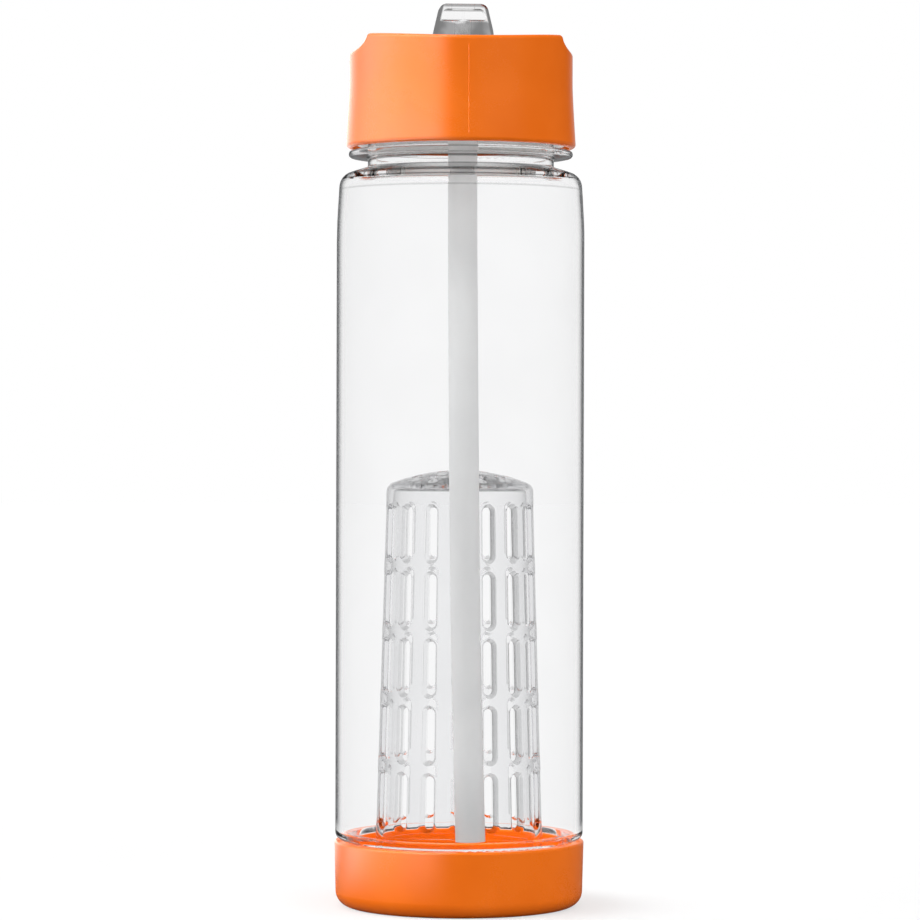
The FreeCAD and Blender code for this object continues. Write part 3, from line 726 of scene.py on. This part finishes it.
def skin_over(stacks, capped=False):
    """Points and faces of skins, each over a stack of closed loops of equal length."""
    verts = []
    faces = []
    for loops in stacks:
        size = len(loops[0])
        rings = [[len(verts) + k * size + i for i in range(size)] for k in range(len(loops))]
        for first, second in zip(rings, rings[1:]):
            for i in range(size):
                j = (i + 1) % size
                faces.append((first[i], first[j], second[j], second[i]))
        if capped:
            faces += [rings[0][::-1], rings[-1]]
        verts += [point for loop in loops for point in loop]
    return verts, faces


def round_axis(radius, turn, height):
    """Point at a radius, a turn and a height."""
    return radius * math.cos(turn), radius * math.sin(turn), height


def rounded_profile(corners, steps):
    """Points of an open outline through corners (radius, height, rounding)."""
    points = []
    for i, (radius, height, rounding) in enumerate(corners):
        here = Vector((radius, height))
        if rounding == 0 or i in (0, len(corners) - 1):
            points.append(here)
            continue
        back = (Vector(corners[i - 1][:2]) - here).normalized()
        ahead = (Vector(corners[i + 1][:2]) - here).normalized()
        half = back.angle(ahead) / 2
        centre = here + (back + ahead).normalized() * (rounding / math.sin(half))
        start = here + back * (rounding / math.tan(half)) - centre
        end = here + ahead * (rounding / math.tan(half)) - centre
        turn = start.angle_signed(end)
        for k in range(steps + 1):
            arm = start.copy()
            arm.rotate(Matrix.Rotation(-turn * k / steps, 2))
            points.append(centre + arm)
    return points


# Fruit basket

RING_STEPS = 192
SLOT_STEPS = 6
SIDE_STEPS = 6
CORNER_STEPS = 6
LUG_STEPS = 14
CURVE_SHARES = (0.0, 0.25, 0.5, 0.75, 1.0)
FLAT_SHARES = (0.0, 0.45, 0.8)
FOOT_LEVELS = (16 * MM, 10 * MM)
# share of the outer rounding that a slot's inner rim has
INNER_RIM_SHARE = 0.7
# place of the ring of points between a hole's rim and the border of its cell
BETWEEN_SHARE = 0.4
# inset and drop of the middle of a hole's rounded rim, as a share of its rounding
RIM_MIDDLE = 0.3
# the pierced middle of the dome reaches out by so many hole pitches
PIERCED_PITCHES = 2.5
JOIN_DISTANCE = 0.01 * MM


def basket_radius(sizes, height):
    """Outer radius of the tapered wall at a height."""
    lean = (sizes.foot_radius - sizes.top_radius) / sizes.height
    return sizes.foot_radius - lean * (height - sizes.foot_height)


def rim_section(sizes):
    """Section of a slot's edge from outside to inside: (inset, depth) points."""
    flare = Vector((sizes.slot_flare, sizes.wall))
    down = flare.normalized()
    outer_round = sizes.rim_round
    inner_round = sizes.rim_round * INNER_RIM_SHARE
    starts = Vector((-outer_round, 0)), Vector((0, 0)), down * outer_round
    ends = flare - down * inner_round, flare, flare - Vector((inner_round, 0))
    points = []
    for first, middle, last in (starts, ends):
        for t in CURVE_SHARES:
            points.append(first * (1 - t) ** 2 + middle * (2 * t * (1 - t)) + last * t ** 2)
    return points


def slot_outline(sizes, inset, across):
    """Round-ended outline of a slot, point for point with the outline of its cell."""
    radius = sizes.slot_width / 2 - inset
    straight = (sizes.slot_length - sizes.slot_width) / 2
    points = [(radius, straight * (2 * i / SLOT_STEPS - 1)) for i in range(SLOT_STEPS)]
    for i in range(across):
        turn = math.pi * i / across
        points.append((radius * math.cos(turn), straight + radius * math.sin(turn)))
    return points + [(-x, -z) for x, z in points]


def cell_outline(half_width, half_height, across):
    """Outline of the flat cell round a slot."""
    points = [(half_width, half_height * (2 * i / SLOT_STEPS - 1)) for i in range(SLOT_STEPS)]
    points += [(half_width * (1 - 2 * i / across), half_height) for i in range(across)]
    return points + [(-x, -z) for x, z in points]


def slot_cell(sizes, name, reference):
    """Flat cell with one flared slot: X along the wall, Y into the wall, Z up."""
    across = RING_STEPS // sizes.columns
    border = cell_outline(math.pi * reference / sizes.columns, sizes.slot_pitch / 2, across)
    section = rim_section(sizes)

    def flat_rings(depth, inset):
        """Rings on one face of the wall, from the border towards the slot."""
        rim = slot_outline(sizes, inset, across)
        return [[(b[0] + (s[0] - b[0]) * t, depth, b[1] + (s[1] - b[1]) * t) for b, s in zip(border, rim)]
                for t in FLAT_SHARES]

    edge = [[(x, point.y, z) for x, z in slot_outline(sizes, point.x, across)] for point in section]
    loops = flat_rings(0.0, section[0].x) + edge + flat_rings(sizes.wall, section[-1].x)[::-1]
    return new_piece(name, *skin_over([loops]))


def dome_lean(sizes):
    """Slope of the dome where its straight border starts."""
    return math.asin((sizes.top_radius - sizes.dome_flank) / sizes.dome_radius)


def dome_height(sizes, radius, inside):
    """Height of the dome at a radius, on its outer or inner face."""
    lean = dome_lean(sizes)
    rise = (sizes.top_radius - sizes.dome_radius * math.tan(lean / 2)) * math.tan(lean)
    apex = sizes.foot_height + sizes.height + rise
    sphere = sizes.dome_radius
    if inside:
        apex -= sizes.wall
        sphere -= sizes.wall
    return apex - sphere + math.sqrt(sphere * sphere - radius * radius)


def dome_cell(sizes, ring, holes):
    """Cell of the dome with one upright hole of a ring: 0 the middle, 1 the inner, 2 the outer."""
    middle = ring * sizes.hole_pitch
    low = middle - sizes.hole_pitch / 2
    high = middle + sizes.hole_pitch / 2
    half_turn = math.pi / holes
    outer_steps = RING_STEPS // (holes * 2 ** (2 - ring))
    border = [(high, half_turn * (2 * i / outer_steps - 1)) for i in range(outer_steps)]
    if ring:
        inner_steps = outer_steps // 2
        border += [(high + (low - high) * i / SIDE_STEPS, half_turn) for i in range(SIDE_STEPS)]
        border += [(low, half_turn * (1 - 2 * i / inner_steps)) for i in range(inner_steps)]
        border += [(low + (high - low) * i / SIDE_STEPS, -half_turn) for i in range(SIDE_STEPS)]
    plan = [Vector((radius * math.cos(turn), radius * math.sin(turn))) for radius, turn in border]
    centre = Vector((middle, 0))

    def circle(radius):
        """The border drawn in to a circle round the hole."""
        return [centre + (point - centre).normalized() * radius for point in plan]

    def on_dome(spots, inside, depth):
        """Spots on the dome's outer or inner face, sunk into the wall by a depth."""
        sunk = depth if inside else -depth
        return [(spot.x, spot.y, dome_height(sizes, spot.length, inside) + sunk) for spot in spots]

    hole = sizes.hole_radius
    soft = sizes.hole_round
    soft_middle = RIM_MIDDLE * soft
    between = [near.lerp(point, BETWEEN_SHARE) for near, point in zip(circle(hole + soft), plan)]
    steps = [(plan, 0.0), (between, 0.0)]
    for radius, depth in ((hole + soft, 0.0), (hole + soft_middle, soft_middle), (hole, soft)):
        steps.append((circle(radius), depth))
    loops = [on_dome(spots, False, depth) for spots, depth in steps]
    loops += [on_dome(spots, True, depth) for spots, depth in reversed(steps)]
    return new_piece(f"dome_cell_{ring}", *skin_over([loops]))


def basket_ends(sizes, slots_low, slots_high, dome_edge):
    """Turned foot and shoulder of the basket, open where the slots and the pierced dome join on."""
    wall = sizes.wall
    foot = sizes.foot_radius
    outside = [(basket_radius(sizes, height), height, 0) for height in (slots_low, *FOOT_LEVELS)]
    inside = [(radius - wall, height, 0) for radius, height, rounding in reversed(outside)]
    lower = [
        *outside,
        (foot, sizes.foot_height, sizes.foot_round),
        (foot - wall, sizes.foot_height, sizes.foot_round),
        *inside,
    ]
    shoulder = basket_radius(sizes, slots_high)
    tangent = sizes.dome_radius * math.sin(dome_lean(sizes))
    outer = [
        (dome_edge, dome_height(sizes, dome_edge, False), 0),
        (tangent, dome_height(sizes, tangent, False), 0),
        (sizes.top_radius, sizes.foot_height + sizes.height, sizes.dome_corner),
        (shoulder, slots_high, 0),
    ]
    inner_top = sizes.top_radius - wall
    inner_tangent = inner_top - sizes.dome_flank
    inner_lean = math.asin(inner_tangent / (sizes.dome_radius - wall))
    inner_edge = dome_height(sizes, inner_tangent, True) - sizes.dome_flank * math.tan(inner_lean)
    inner = [
        (shoulder - wall, slots_high, 0),
        (inner_top, inner_edge, sizes.dome_fillet),
        (inner_tangent, dome_height(sizes, inner_tangent, True), 0),
        (dome_edge, dome_height(sizes, dome_edge, True), 0),
    ]
    turns = [FULL_TURN * i / RING_STEPS for i in range(RING_STEPS)]
    stacks = []
    for outline in (lower, outer, inner):
        profile = rounded_profile(outline, CORNER_STEPS)
        stacks.append([[round_axis(point.x, turn, point.y) for turn in turns] for point in profile])
    return new_piece("basket_ends", *skin_over(stacks))


def basket_lugs(sizes):
    """Bayonet lugs with softened edges on the foot."""
    inner = sizes.foot_radius - sizes.wall / 2
    outer = sizes.lug_radius
    low = sizes.lug_low
    high = sizes.lug_high
    soft = sizes.lug_round
    section = ((inner, low), (outer - soft, low), (outer, low + soft),
               (outer, high - soft), (outer - soft, high), (inner, high))
    stacks = []
    for lug in range(sizes.lugs):
        middle = sizes.turn + FULL_TURN * lug / sizes.lugs
        turns = [middle + sizes.lug_span * (k / LUG_STEPS - 0.5) for k in range(LUG_STEPS + 1)]
        stacks.append([[round_axis(radius, turn, height) for radius, height in section] for turn in turns])
    piece = new_piece("basket_lugs", *skin_over(stacks, capped=True))
    tidy_mesh(piece)
    piece.data.materials.append(finish("clear_basket"))
    return piece


def points_at_axis(tree, number):
    """So many points on one spot, told apart by their index."""
    return wire(tree, "GeometryNodeMeshLine", {"Count": number, "Offset": (0, 0, 0)}, mode="OFFSET")


def wrapped_slots(tree, given):
    """Slots in columns and rows on a flat sheet, then bent onto the basket's cone."""
    index = wire(tree, "GeometryNodeInputIndex")
    columns = given["Columns"]
    reference = given["Reference Radius"]
    column = math_node("MODULO", index, columns)
    row = math_node("FLOOR", index / columns)
    step = reference * FULL_TURN / columns
    spot = joined(column * step, 0.0, row * given["Slot Pitch"] + given["First Row"])
    spread = passed("SetPosition", points_at_axis(tree, columns * given["Rows"]), Position=spot)
    slots = wire(tree, "GeometryNodeInstanceOnPoints", {"Points": spread, "Instance": given["Geometry"]})
    sheet = passed("RealizeInstances", slots)
    along, depth, height = split(wire(tree, "GeometryNodeInputPosition"))
    radius = given["Foot Radius"] - (height - given["Foot Height"]) * given["Lean"] - depth
    return passed("SetPosition", sheet, Position=on_circle(radius, along / reference, height))


def hole_ring(tree, given, cell, holes):
    """Cells of one ring of holes round the dome; the middle hole is a single cell."""
    index = wire(tree, "GeometryNodeInputIndex")
    step = FULL_TURN / given[holes] if holes else 0.0
    heading = index * step + (step * 0.5 + given["Hole Turn"])
    return wire(tree, "GeometryNodeInstanceOnPoints", {
        "Points": points_at_axis(tree, given[holes] if holes else 1),
        "Instance": wire(tree, "GeometryNodeObjectInfo", {"Object": given[cell]}, "Geometry"),
        "Rotation": wire(tree, "FunctionNodeEulerToRotation", {0: joined(0.0, 0.0, heading)}),
    })


def basket_tree():
    """Node tree: slots in columns and rows wrapped on a cone, rings of dome holes, turned ends."""
    tree, given, result = node_group("GeometryNodeTree", "Slotted Basket", {
        "Geometry": ("Geometry",),
        "Int": ("Columns", "Rows", "Outer Holes", "Inner Holes"),
        "Float": ("Slot Pitch", "First Row", "Foot Radius", "Foot Height", "Lean", "Reference Radius",
                  "Hole Turn", "Turn", "Join Distance"),
        "Object": ("Outer Cell", "Inner Cell", "Middle Cell", "Ends"),
        "Material": ("Material",),
    }, {"Geometry": ("Geometry",)})
    join = add(tree, "GeometryNodeJoinGeometry")
    for part in (
        wrapped_slots(tree, given),
        hole_ring(tree, given, "Outer Cell", "Outer Holes"),
        hole_ring(tree, given, "Inner Cell", "Inner Holes"),
        hole_ring(tree, given, "Middle Cell", None),
        wire(tree, "GeometryNodeObjectInfo", {"Object": given["Ends"]}, "Geometry"),
    ):
        feed(join, {0: part})
    real = passed("RealizeInstances", Wire(join.outputs[0]))
    merged = passed("MergeByDistance", real, Distance=given["Join Distance"])
    turned = passed("Transform", merged, Rotation=joined(0.0, 0.0, given["Turn"]))
    smooth = passed("SetShadeSmooth", turned)
    feed(result, {"Geometry": passed("SetMaterial", smooth, Material=given["Material"])})
    return tree


# Screw threads

STEPS_PER_TURN = 120.0
BEAD_POINTS = 13
BEAD_JOIN = 0.002 * MM


def thread_tree():
    """Node tree: a closed rounded bead along a helix that runs out at both ends."""
    tree, given, result = node_group("GeometryNodeTree", "Thread Bead", {
        "Geometry": ("Geometry",),
        "Float": ("Radius", "Start Height", "Start Turn", "Turns", "Pitch", "Depth", "Sink", "Bead", "Lead"),
        "Material": ("Material",),
    }, {"Geometry": ("Geometry",)})
    turns = given["Turns"]
    depth = given["Depth"]
    grid = wire(tree, "GeometryNodeMeshGrid", {
        "Size X": 1.0, "Size Y": 1.0,
        "Vertices X": math_node("MULTIPLY_ADD", turns, STEPS_PER_TURN, 1.0), "Vertices Y": BEAD_POINTS})
    x, y, z = split(wire(tree, "GeometryNodeInputPosition"))
    along = x + 0.5
    around = y * FULL_TURN
    body = ramp(along, 0.0, given["Lead"]) * ramp(1.0 - along, 0.0, given["Lead"])
    swell = math_node("COSINE", around)
    over = math_node("MAXIMUM", swell, 0.0) * depth
    under = math_node("MINIMUM", swell, 0.0) * given["Sink"] * math_node("SIGN", depth)
    radius = given["Radius"] + (over + under) * body
    drop = math_node("SINE", around) * (given["Bead"] * 0.5) * body
    turn = along * (turns * FULL_TURN) + given["Start Turn"]
    climb = along * (turns * given["Pitch"])
    spot = on_circle(radius, turn, given["Start Height"] + climb + drop)
    bent = passed("SetPosition", grid, Position=spot)
    merged = passed("MergeByDistance", bent, Distance=BEAD_JOIN)
    real = passed("RealizeInstances", merged)
    feed(result, {"Geometry": passed("SetMaterial", real, Material=given["Material"])})
    return tree


# Parting lines

RAY_START = 100 * MM
LID_SEAM_STEPS = 40
SPOUT_SEAM_STEPS = 24
CREST_SHARE = 0.4
END_SHARE = 0.05


def seam_piece(name, node, starts, direction, finish_name):
    """Fine raised line laid on a solid where rays from the starts meet it."""
    sizes = bpy.context.scene.infuser_seams
    target = NODES[node].data
    tree = BVHTree.FromPolygons([v.co for v in target.vertices], [p.vertices for p in target.polygons])
    hits = [tree.ray_cast(start, direction)[0] for start in starts]
    if any(place is None for place in hits):
        raise RuntimeError(name + " misses its solid")
    across = Vector((1, 0, 0))
    half = sizes.width / 2
    crest = half * CREST_SHARE
    last = len(hits) - 1
    loops = []
    for i, place in enumerate(hits):
        ahead = (hits[min(i + 1, last)] - hits[max(i - 1, 0)]).normalized()
        out = ahead.cross(across).normalized()
        if out.dot(direction) > 0:
            out.negate()
        top = sizes.height * (END_SHARE if i in (0, last) else 1.0)
        section = ((-half, -sizes.height), (-half, 0.0), (-crest, top),
                   (crest, top), (half, 0.0), (half, -sizes.height))
        loops.append([place + across * x + out * lift for x, lift in section])
    piece = new_piece(name, *skin_over([loops], capped=True))
    tidy_mesh(piece, merge=1e-7)
    piece.data.materials.append(finish(finish_name))
    return piece


# Operators


class INFUSER_OT_shells(Operator):
    """Finish the orange lid and base and the lid's natural liner"""

    bl_idname = "infuser.shells"
    bl_label = "Moulded Shells"

    def execute(self, context):
        for node in ("lid_shell", "base_cap"):
            dress_node(node, "satin_orange")
        dress_node("lid_insert", "natural_liner")
        return {"FINISHED"}


class INFUSER_OT_wall(Operator):
    """Finish the clear bottle wall"""

    bl_idname = "infuser.wall"
    bl_label = "Clear Wall"

    def execute(self, context):
        dress_node("bottle_body", "clear_wall")
        return {"FINISHED"}


class INFUSER_OT_drinking(Operator):
    """Finish the grey clear spout and the milky straw"""

    bl_idname = "infuser.drinking"
    bl_label = "Spout and Straw"

    def execute(self, context):
        dress_node("flip_spout", "smoke_clear")
        dress_node("straw", "milky_tube")
        return {"FINISHED"}


class INFUSER_OT_seals(Operator):
    """Finish the silicone seals and the air valve"""

    bl_idname = "infuser.seals"
    bl_label = "Seals"

    def execute(self, context):
        for node in ("base_seal", "lid_seal", "spout_seal", "vent_valve"):
            dress_node(node, "soft_silicone")
        return {"FINISHED"}


class INFUSER_OT_basket(Operator):
    """Build the slotted fruit basket with softened slot rims"""

    bl_idname = "infuser.basket"
    bl_label = "Fruit Basket"

    def execute(self, context):
        sizes = context.scene.infuser_basket
        middle = sizes.first_row + sizes.slot_pitch * (sizes.rows - 1) / 2
        reference = basket_radius(sizes, middle)
        slots_low = sizes.first_row - sizes.slot_pitch / 2
        slots_high = slots_low + sizes.slot_pitch * sizes.rows
        cells = {
            "Outer Cell": dome_cell(sizes, 2, sizes.outer_holes),
            "Inner Cell": dome_cell(sizes, 1, sizes.inner_holes),
            "Middle Cell": dome_cell(sizes, 0, 1),
            "Ends": basket_ends(sizes, slots_low, slots_high, PIERCED_PITCHES * sizes.hole_pitch),
        }
        piece = slot_cell(sizes, "fruit_basket", reference)
        run_tree(piece, basket_tree(), sizes, {
            "Lean": (sizes.foot_radius - sizes.top_radius) / sizes.height,
            "Reference Radius": reference,
            "Join Distance": JOIN_DISTANCE,
            "Material": finish("clear_basket"),
            **cells,
        })
        for cell in cells.values():
            bpy.data.objects.remove(cell)
        tidy_mesh(piece, merge=2e-6)
        hand_over(piece, "basket", "clear_plastic", "infuser_basket")
        hand_over(basket_lugs(sizes), "basket", "clear_plastic")
        return {"FINISHED"}


class INFUSER_OT_threads(Operator):
    """Build the rounded screw threads of neck, liner, lower neck and base"""

    bl_idname = "infuser.threads"
    bl_label = "Screw Threads"

    def execute(self, context):
        sizes = context.scene.infuser_threads
        tree = thread_tree()
        for place, mate, depth, body, finish_name, slot_name in (
            ("neck", "neck", sizes.neck_depth, "bottle", "clear_wall", "clear_plastic"),
            ("liner", "neck", -sizes.neck_depth, "lid", "natural_liner", "natural_plastic"),
            ("lower", "lower", sizes.lower_depth, "bottle", "clear_wall", "clear_plastic"),
            ("base", "lower", -sizes.lower_depth, "base", "satin_orange", "orange_plastic"),
        ):
            start = getattr(sizes, place + "_start")
            turns_up = (start - getattr(sizes, mate + "_start")) / sizes.pitch
            piece = new_piece(place + "_thread", [], [])
            run_tree(piece, tree, sizes, {
                "Radius": getattr(sizes, place + "_radius"),
                "Start Height": start,
                "Start Turn": FULL_TURN * (turns_up - (0.5 if depth < 0 else 0.0)),
                "Turns": getattr(sizes, place + "_turns"),
                "Depth": depth,
                "Material": finish(finish_name),
            })
            tidy_mesh(piece)
            hand_over(piece, body, slot_name)
        return {"FINISHED"}


class INFUSER_OT_seams(Operator):
    """Build the parting lines of the lid and of the spout"""

    bl_idname = "infuser.seams"
    bl_label = "Parting Lines"

    def execute(self, context):
        sizes = context.scene.infuser_seams
        lid_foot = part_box("lid_shell")[0].z
        low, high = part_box("flip_spout")
        lid_heights = (lid_foot + sizes.lid_margin, sizes.lid_run, LID_SEAM_STEPS)
        spout_heights = (high.z - sizes.spout_drop, sizes.spout_run, SPOUT_SEAM_STEPS)
        spout_middle = low.y + (high.y - low.y) / 2
        for body, node, heights, middle, finish_name, slot_name in (
            ("lid", "lid_shell", lid_heights, 0.0, "satin_orange", "orange_plastic"),
            ("spout", "flip_spout", spout_heights, spout_middle, "smoke_clear", "smoke_plastic"),
        ):
            foot, run, steps = heights
            levels = [foot + run * i / steps for i in range(steps + 1)]
            for end, side in (("front", -1), ("back", 1)):
                starts = [Vector((0, middle + side * RAY_START, level)) for level in levels]
                piece = seam_piece(f"{body}_seam_{end}", node, starts, Vector((0, -side, 0)), finish_name)
                hand_over(piece, body, slot_name)
        return {"FINISHED"}


class INFUSER_OT_stage(Operator):
    """Set up floor, world, lamps and camera"""

    bl_idname = "infuser.stage"
    bl_label = "Studio"

    # headings in degrees where the soft left panel starts, is full, starts to fade and ends
    ROOM_PANEL = (13, 31, 70, 140)
    # the same for the floor's painted panel glow, seen only in satin reflections
    FLOOR_PANEL_GLOW = (5, 38, 90, 130)
    # share of its brightness that the panel keeps past its end
    PANEL_REST = 0.1
    # headings in degrees, to either side, where the pale wall behind starts and is full
    BACK_WALL = (135, 170)
    # share of each lamp's strength that falls on the level floor
    KEY_ON_FLOOR = 0.62
    FILL_ON_FLOOR = 0.5
    FLOOR_WHITE = 1.01
    # distances from the axis between which the floor's painted panel glow comes in
    FLOOR_AWAY = (45 * MM, 200 * MM)
    # upward share of a direction between which level light turns into overhead light
    OVERHEAD_RISE = (0.3, 0.6)
    FLOOR_POINTS = 128
    LAMP_DISTANCE = 2.0
    BOUNCES = 32

    def execute(self, context):
        settings = context.scene.infuser_studio
        context.scene.view_settings.view_transform = "Standard"
        context.scene.cycles.max_bounces = self.BOUNCES
        context.scene.cycles.transmission_bounces = self.BOUNCES
        context.scene.cycles.glossy_bounces = self.BOUNCES
        context.scene.cycles.blur_glossy = 0.0
        self.lay_floor(settings)
        self.paint_world(context.scene, settings)
        self.hang_lamps(context.scene, settings)
        self.set_camera(context.scene, settings)
        return {"FINISHED"}

    def panel_level(self, direction, settings, headings):
        """Brightness of the soft left panel and of the wall behind, seen in a direction from the axis."""
        start, full, fading, end = (math.radians(heading) for heading in headings)
        wall_start, wall_full = (math.radians(heading) for heading in self.BACK_WALL)
        x, y, z = split(direction)
        heading = math_node("ARCTAN2", x * -1.0, y * -1.0)
        rest = settings.panel * self.PANEL_REST
        panel = ramp(heading, start, full) * ramp(heading, fading, end, settings.panel, rest)
        return panel + ramp(abs(heading), wall_start, wall_full, 0.0, settings.back_glow)

    def lay_floor(self, settings):
        """Round pale floor that shows white and keeps the shadow, with a painted glow of the panel that only
        satin reflections see.
        """
        material = bpy.data.materials.new("studio_floor")
        tree = empty_tree(material)
        path = wires(add(tree, "ShaderNodeLightPath"))
        seen = math_node("MAXIMUM", path["Is Camera Ray"], path["Is Transmission Ray"])
        mirrored = (path["Is Glossy Ray"] - seen).clamped()
        satin = (mirrored - path["Is Singular Ray"]).clamped()
        lamps = settings.key * self.KEY_ON_FLOOR + settings.fill * self.FILL_ON_FLOOR
        lit = settings.ambient + lamps / math.pi
        white = seen * (self.FLOOR_WHITE - settings.floor_colour[0] * lit)
        place = own_place(tree)
        reach = wire(tree, "ShaderNodeVectorMath", {0: place}, "Value", operation="LENGTH")
        away = ramp(reach, *self.FLOOR_AWAY, 0.0, settings.floor_panel_glow)
        # painted reflection: the floor glows with the panel in satin reflections only
        panel = self.panel_level(place, settings, self.FLOOR_PANEL_GLOW) * (satin * away)
        dim = [settings.mirror_level / lit] * 3
        matt = wire(tree, "ShaderNodeBsdfDiffuse", {"Color": mixed(mirrored, settings.floor_colour, dim)})
        glow = wire(tree, "ShaderNodeEmission", {"Strength": white + panel})
        both = wire(tree, "ShaderNodeAddShader", {0: matt, 1: glow})
        add(tree, "ShaderNodeOutputMaterial", {"Surface": both})
        turns = [FULL_TURN * i / self.FLOOR_POINTS for i in range(self.FLOOR_POINTS)]
        verts = [round_axis(settings.floor_radius, turn, 0) for turn in turns]
        floor = new_piece("studio_floor", verts, [list(range(self.FLOOR_POINTS))])
        floor.data.materials.append(material)

    def paint_world(self, scene, settings):
        """White surroundings; reflections see a dim room with a soft panel and a pale wall behind."""
        world = bpy.data.worlds.new("studio_world")
        tree = empty_tree(world)
        world.cycles.sampling_method = "NONE"
        scene.world = world
        path = wires(add(tree, "ShaderNodeLightPath"))
        camera = path["Is Camera Ray"]
        through = path["Is Transmission Ray"]
        sharp = path["Is Singular Ray"]
        direction = wire(tree, "ShaderNodeTexCoord", output="Generated")
        room = self.panel_level(direction, settings, self.ROOM_PANEL) + settings.gloss_level
        reflected = room * (1.0 - sharp) + sharp * settings.mirror_level
        outside = path["Is Glossy Ray"] * (reflected - settings.ambient) + settings.ambient
        scattered = math_node("MINIMUM", path["Diffuse Depth"], 1.0)
        rise = split(direction)[2]
        indoors = ramp(rise, *self.OVERHEAD_RISE, settings.inside - 1.0, settings.overhead - 1.0)
        clear = (scattered * indoors + 1.0) * through
        unseen = 1.0 - math_node("MAXIMUM", camera, through)
        strength = outside * unseen + math_node("MAXIMUM", camera, clear)
        glow = wire(tree, "ShaderNodeBackground", {"Color": (1.0, 1.0, 1.0), "Strength": strength})
        add(tree, "ShaderNodeOutputWorld", {"Surface": glow})

    def hang_lamps(self, scene, settings):
        """Two large soft lamps, left and right of the camera."""
        for side in ("key", "fill"):
            heading = getattr(settings, side + "_heading")
            rise = getattr(settings, side + "_rise")
            data = bpy.data.lights.new(side + "_lamp", "SUN")
            data.energy = getattr(settings, side)
            data.angle = getattr(settings, side + "_spread")
            lamp = bpy.data.objects.new(side + "_lamp", data)
            level = math.cos(rise)
            back = Vector((-math.sin(heading) * level, -math.cos(heading) * level, math.sin(rise)))
            lamp.rotation_euler = back.to_track_quat("Z", "Y").to_euler()
            lamp.location = back * self.LAMP_DISTANCE
            lamp.visible_glossy = False
            lamp.visible_transmission = False
            scene.collection.objects.link(lamp)

    def set_camera(self, scene, settings):
        """Camera at the viewing angle of the photograph."""
        data = bpy.data.cameras.new("camera")
        data.lens = settings.lens
        data.sensor_width = 36
        data.clip_end = 100
        camera = bpy.data.objects.new("camera", data)
        distance = settings.camera_distance
        turn = settings.camera_turn
        camera.location = (distance * math.sin(turn), -distance * math.cos(turn), settings.camera_height)
        look = Vector((0, 0, settings.target_height)) - camera.location
        aim = look.to_track_quat("-Z", "Y").to_matrix() @ Matrix.Rotation(settings.camera_roll, 3, "Z")
        camera.rotation_euler = aim.to_euler()
        scene.collection.objects.link(camera)
        scene.camera = camera


class INFUSER_PT_panel(Panel):
    """Sidebar panel with every step and its settings"""

    bl_label = "Fruit Infuser Bottle"
    bl_idname = "INFUSER_PT_panel"
    bl_space_type = "VIEW_3D"
    bl_region_type = "UI"
    bl_category = "Infuser"

    def draw(self, context):
        for operator in OPERATORS:
            self.layout.operator(operator.bl_idname)
        for group in GROUPS:
            box = self.layout.box()
            settings = getattr(context.scene, group)
            for name in settings.__annotations__:
                box.prop(settings, name)


OPERATORS = (
    INFUSER_OT_shells,
    INFUSER_OT_wall,
    INFUSER_OT_drinking,
    INFUSER_OT_seals,
    INFUSER_OT_basket,
    INFUSER_OT_threads,
    INFUSER_OT_seams,
    INFUSER_OT_stage,
)


def register():
    for name, group in GROUPS.items():
        bpy.utils.register_class(group)
        setattr(bpy.types.Scene, name, PointerProperty(type=group))
    for operator in OPERATORS:
        bpy.utils.register_class(operator)
    bpy.utils.register_class(INFUSER_PT_panel)


def unregister():
    bpy.utils.unregister_class(INFUSER_PT_panel)
    for operator in reversed(OPERATORS):
        bpy.utils.unregister_class(operator)
    for name, group in reversed(GROUPS.items()):
        delattr(bpy.types.Scene, name)
        bpy.utils.unregister_class(group)


def main():
    register()
    bpy.ops.infuser.shells()
    bpy.ops.infuser.wall()
    bpy.ops.infuser.drinking()
    bpy.ops.infuser.seals()
    bpy.ops.infuser.basket()
    bpy.ops.infuser.threads()
    bpy.ops.infuser.seams()
    bpy.ops.infuser.stage()


if __name__ == "__main__":
    main()
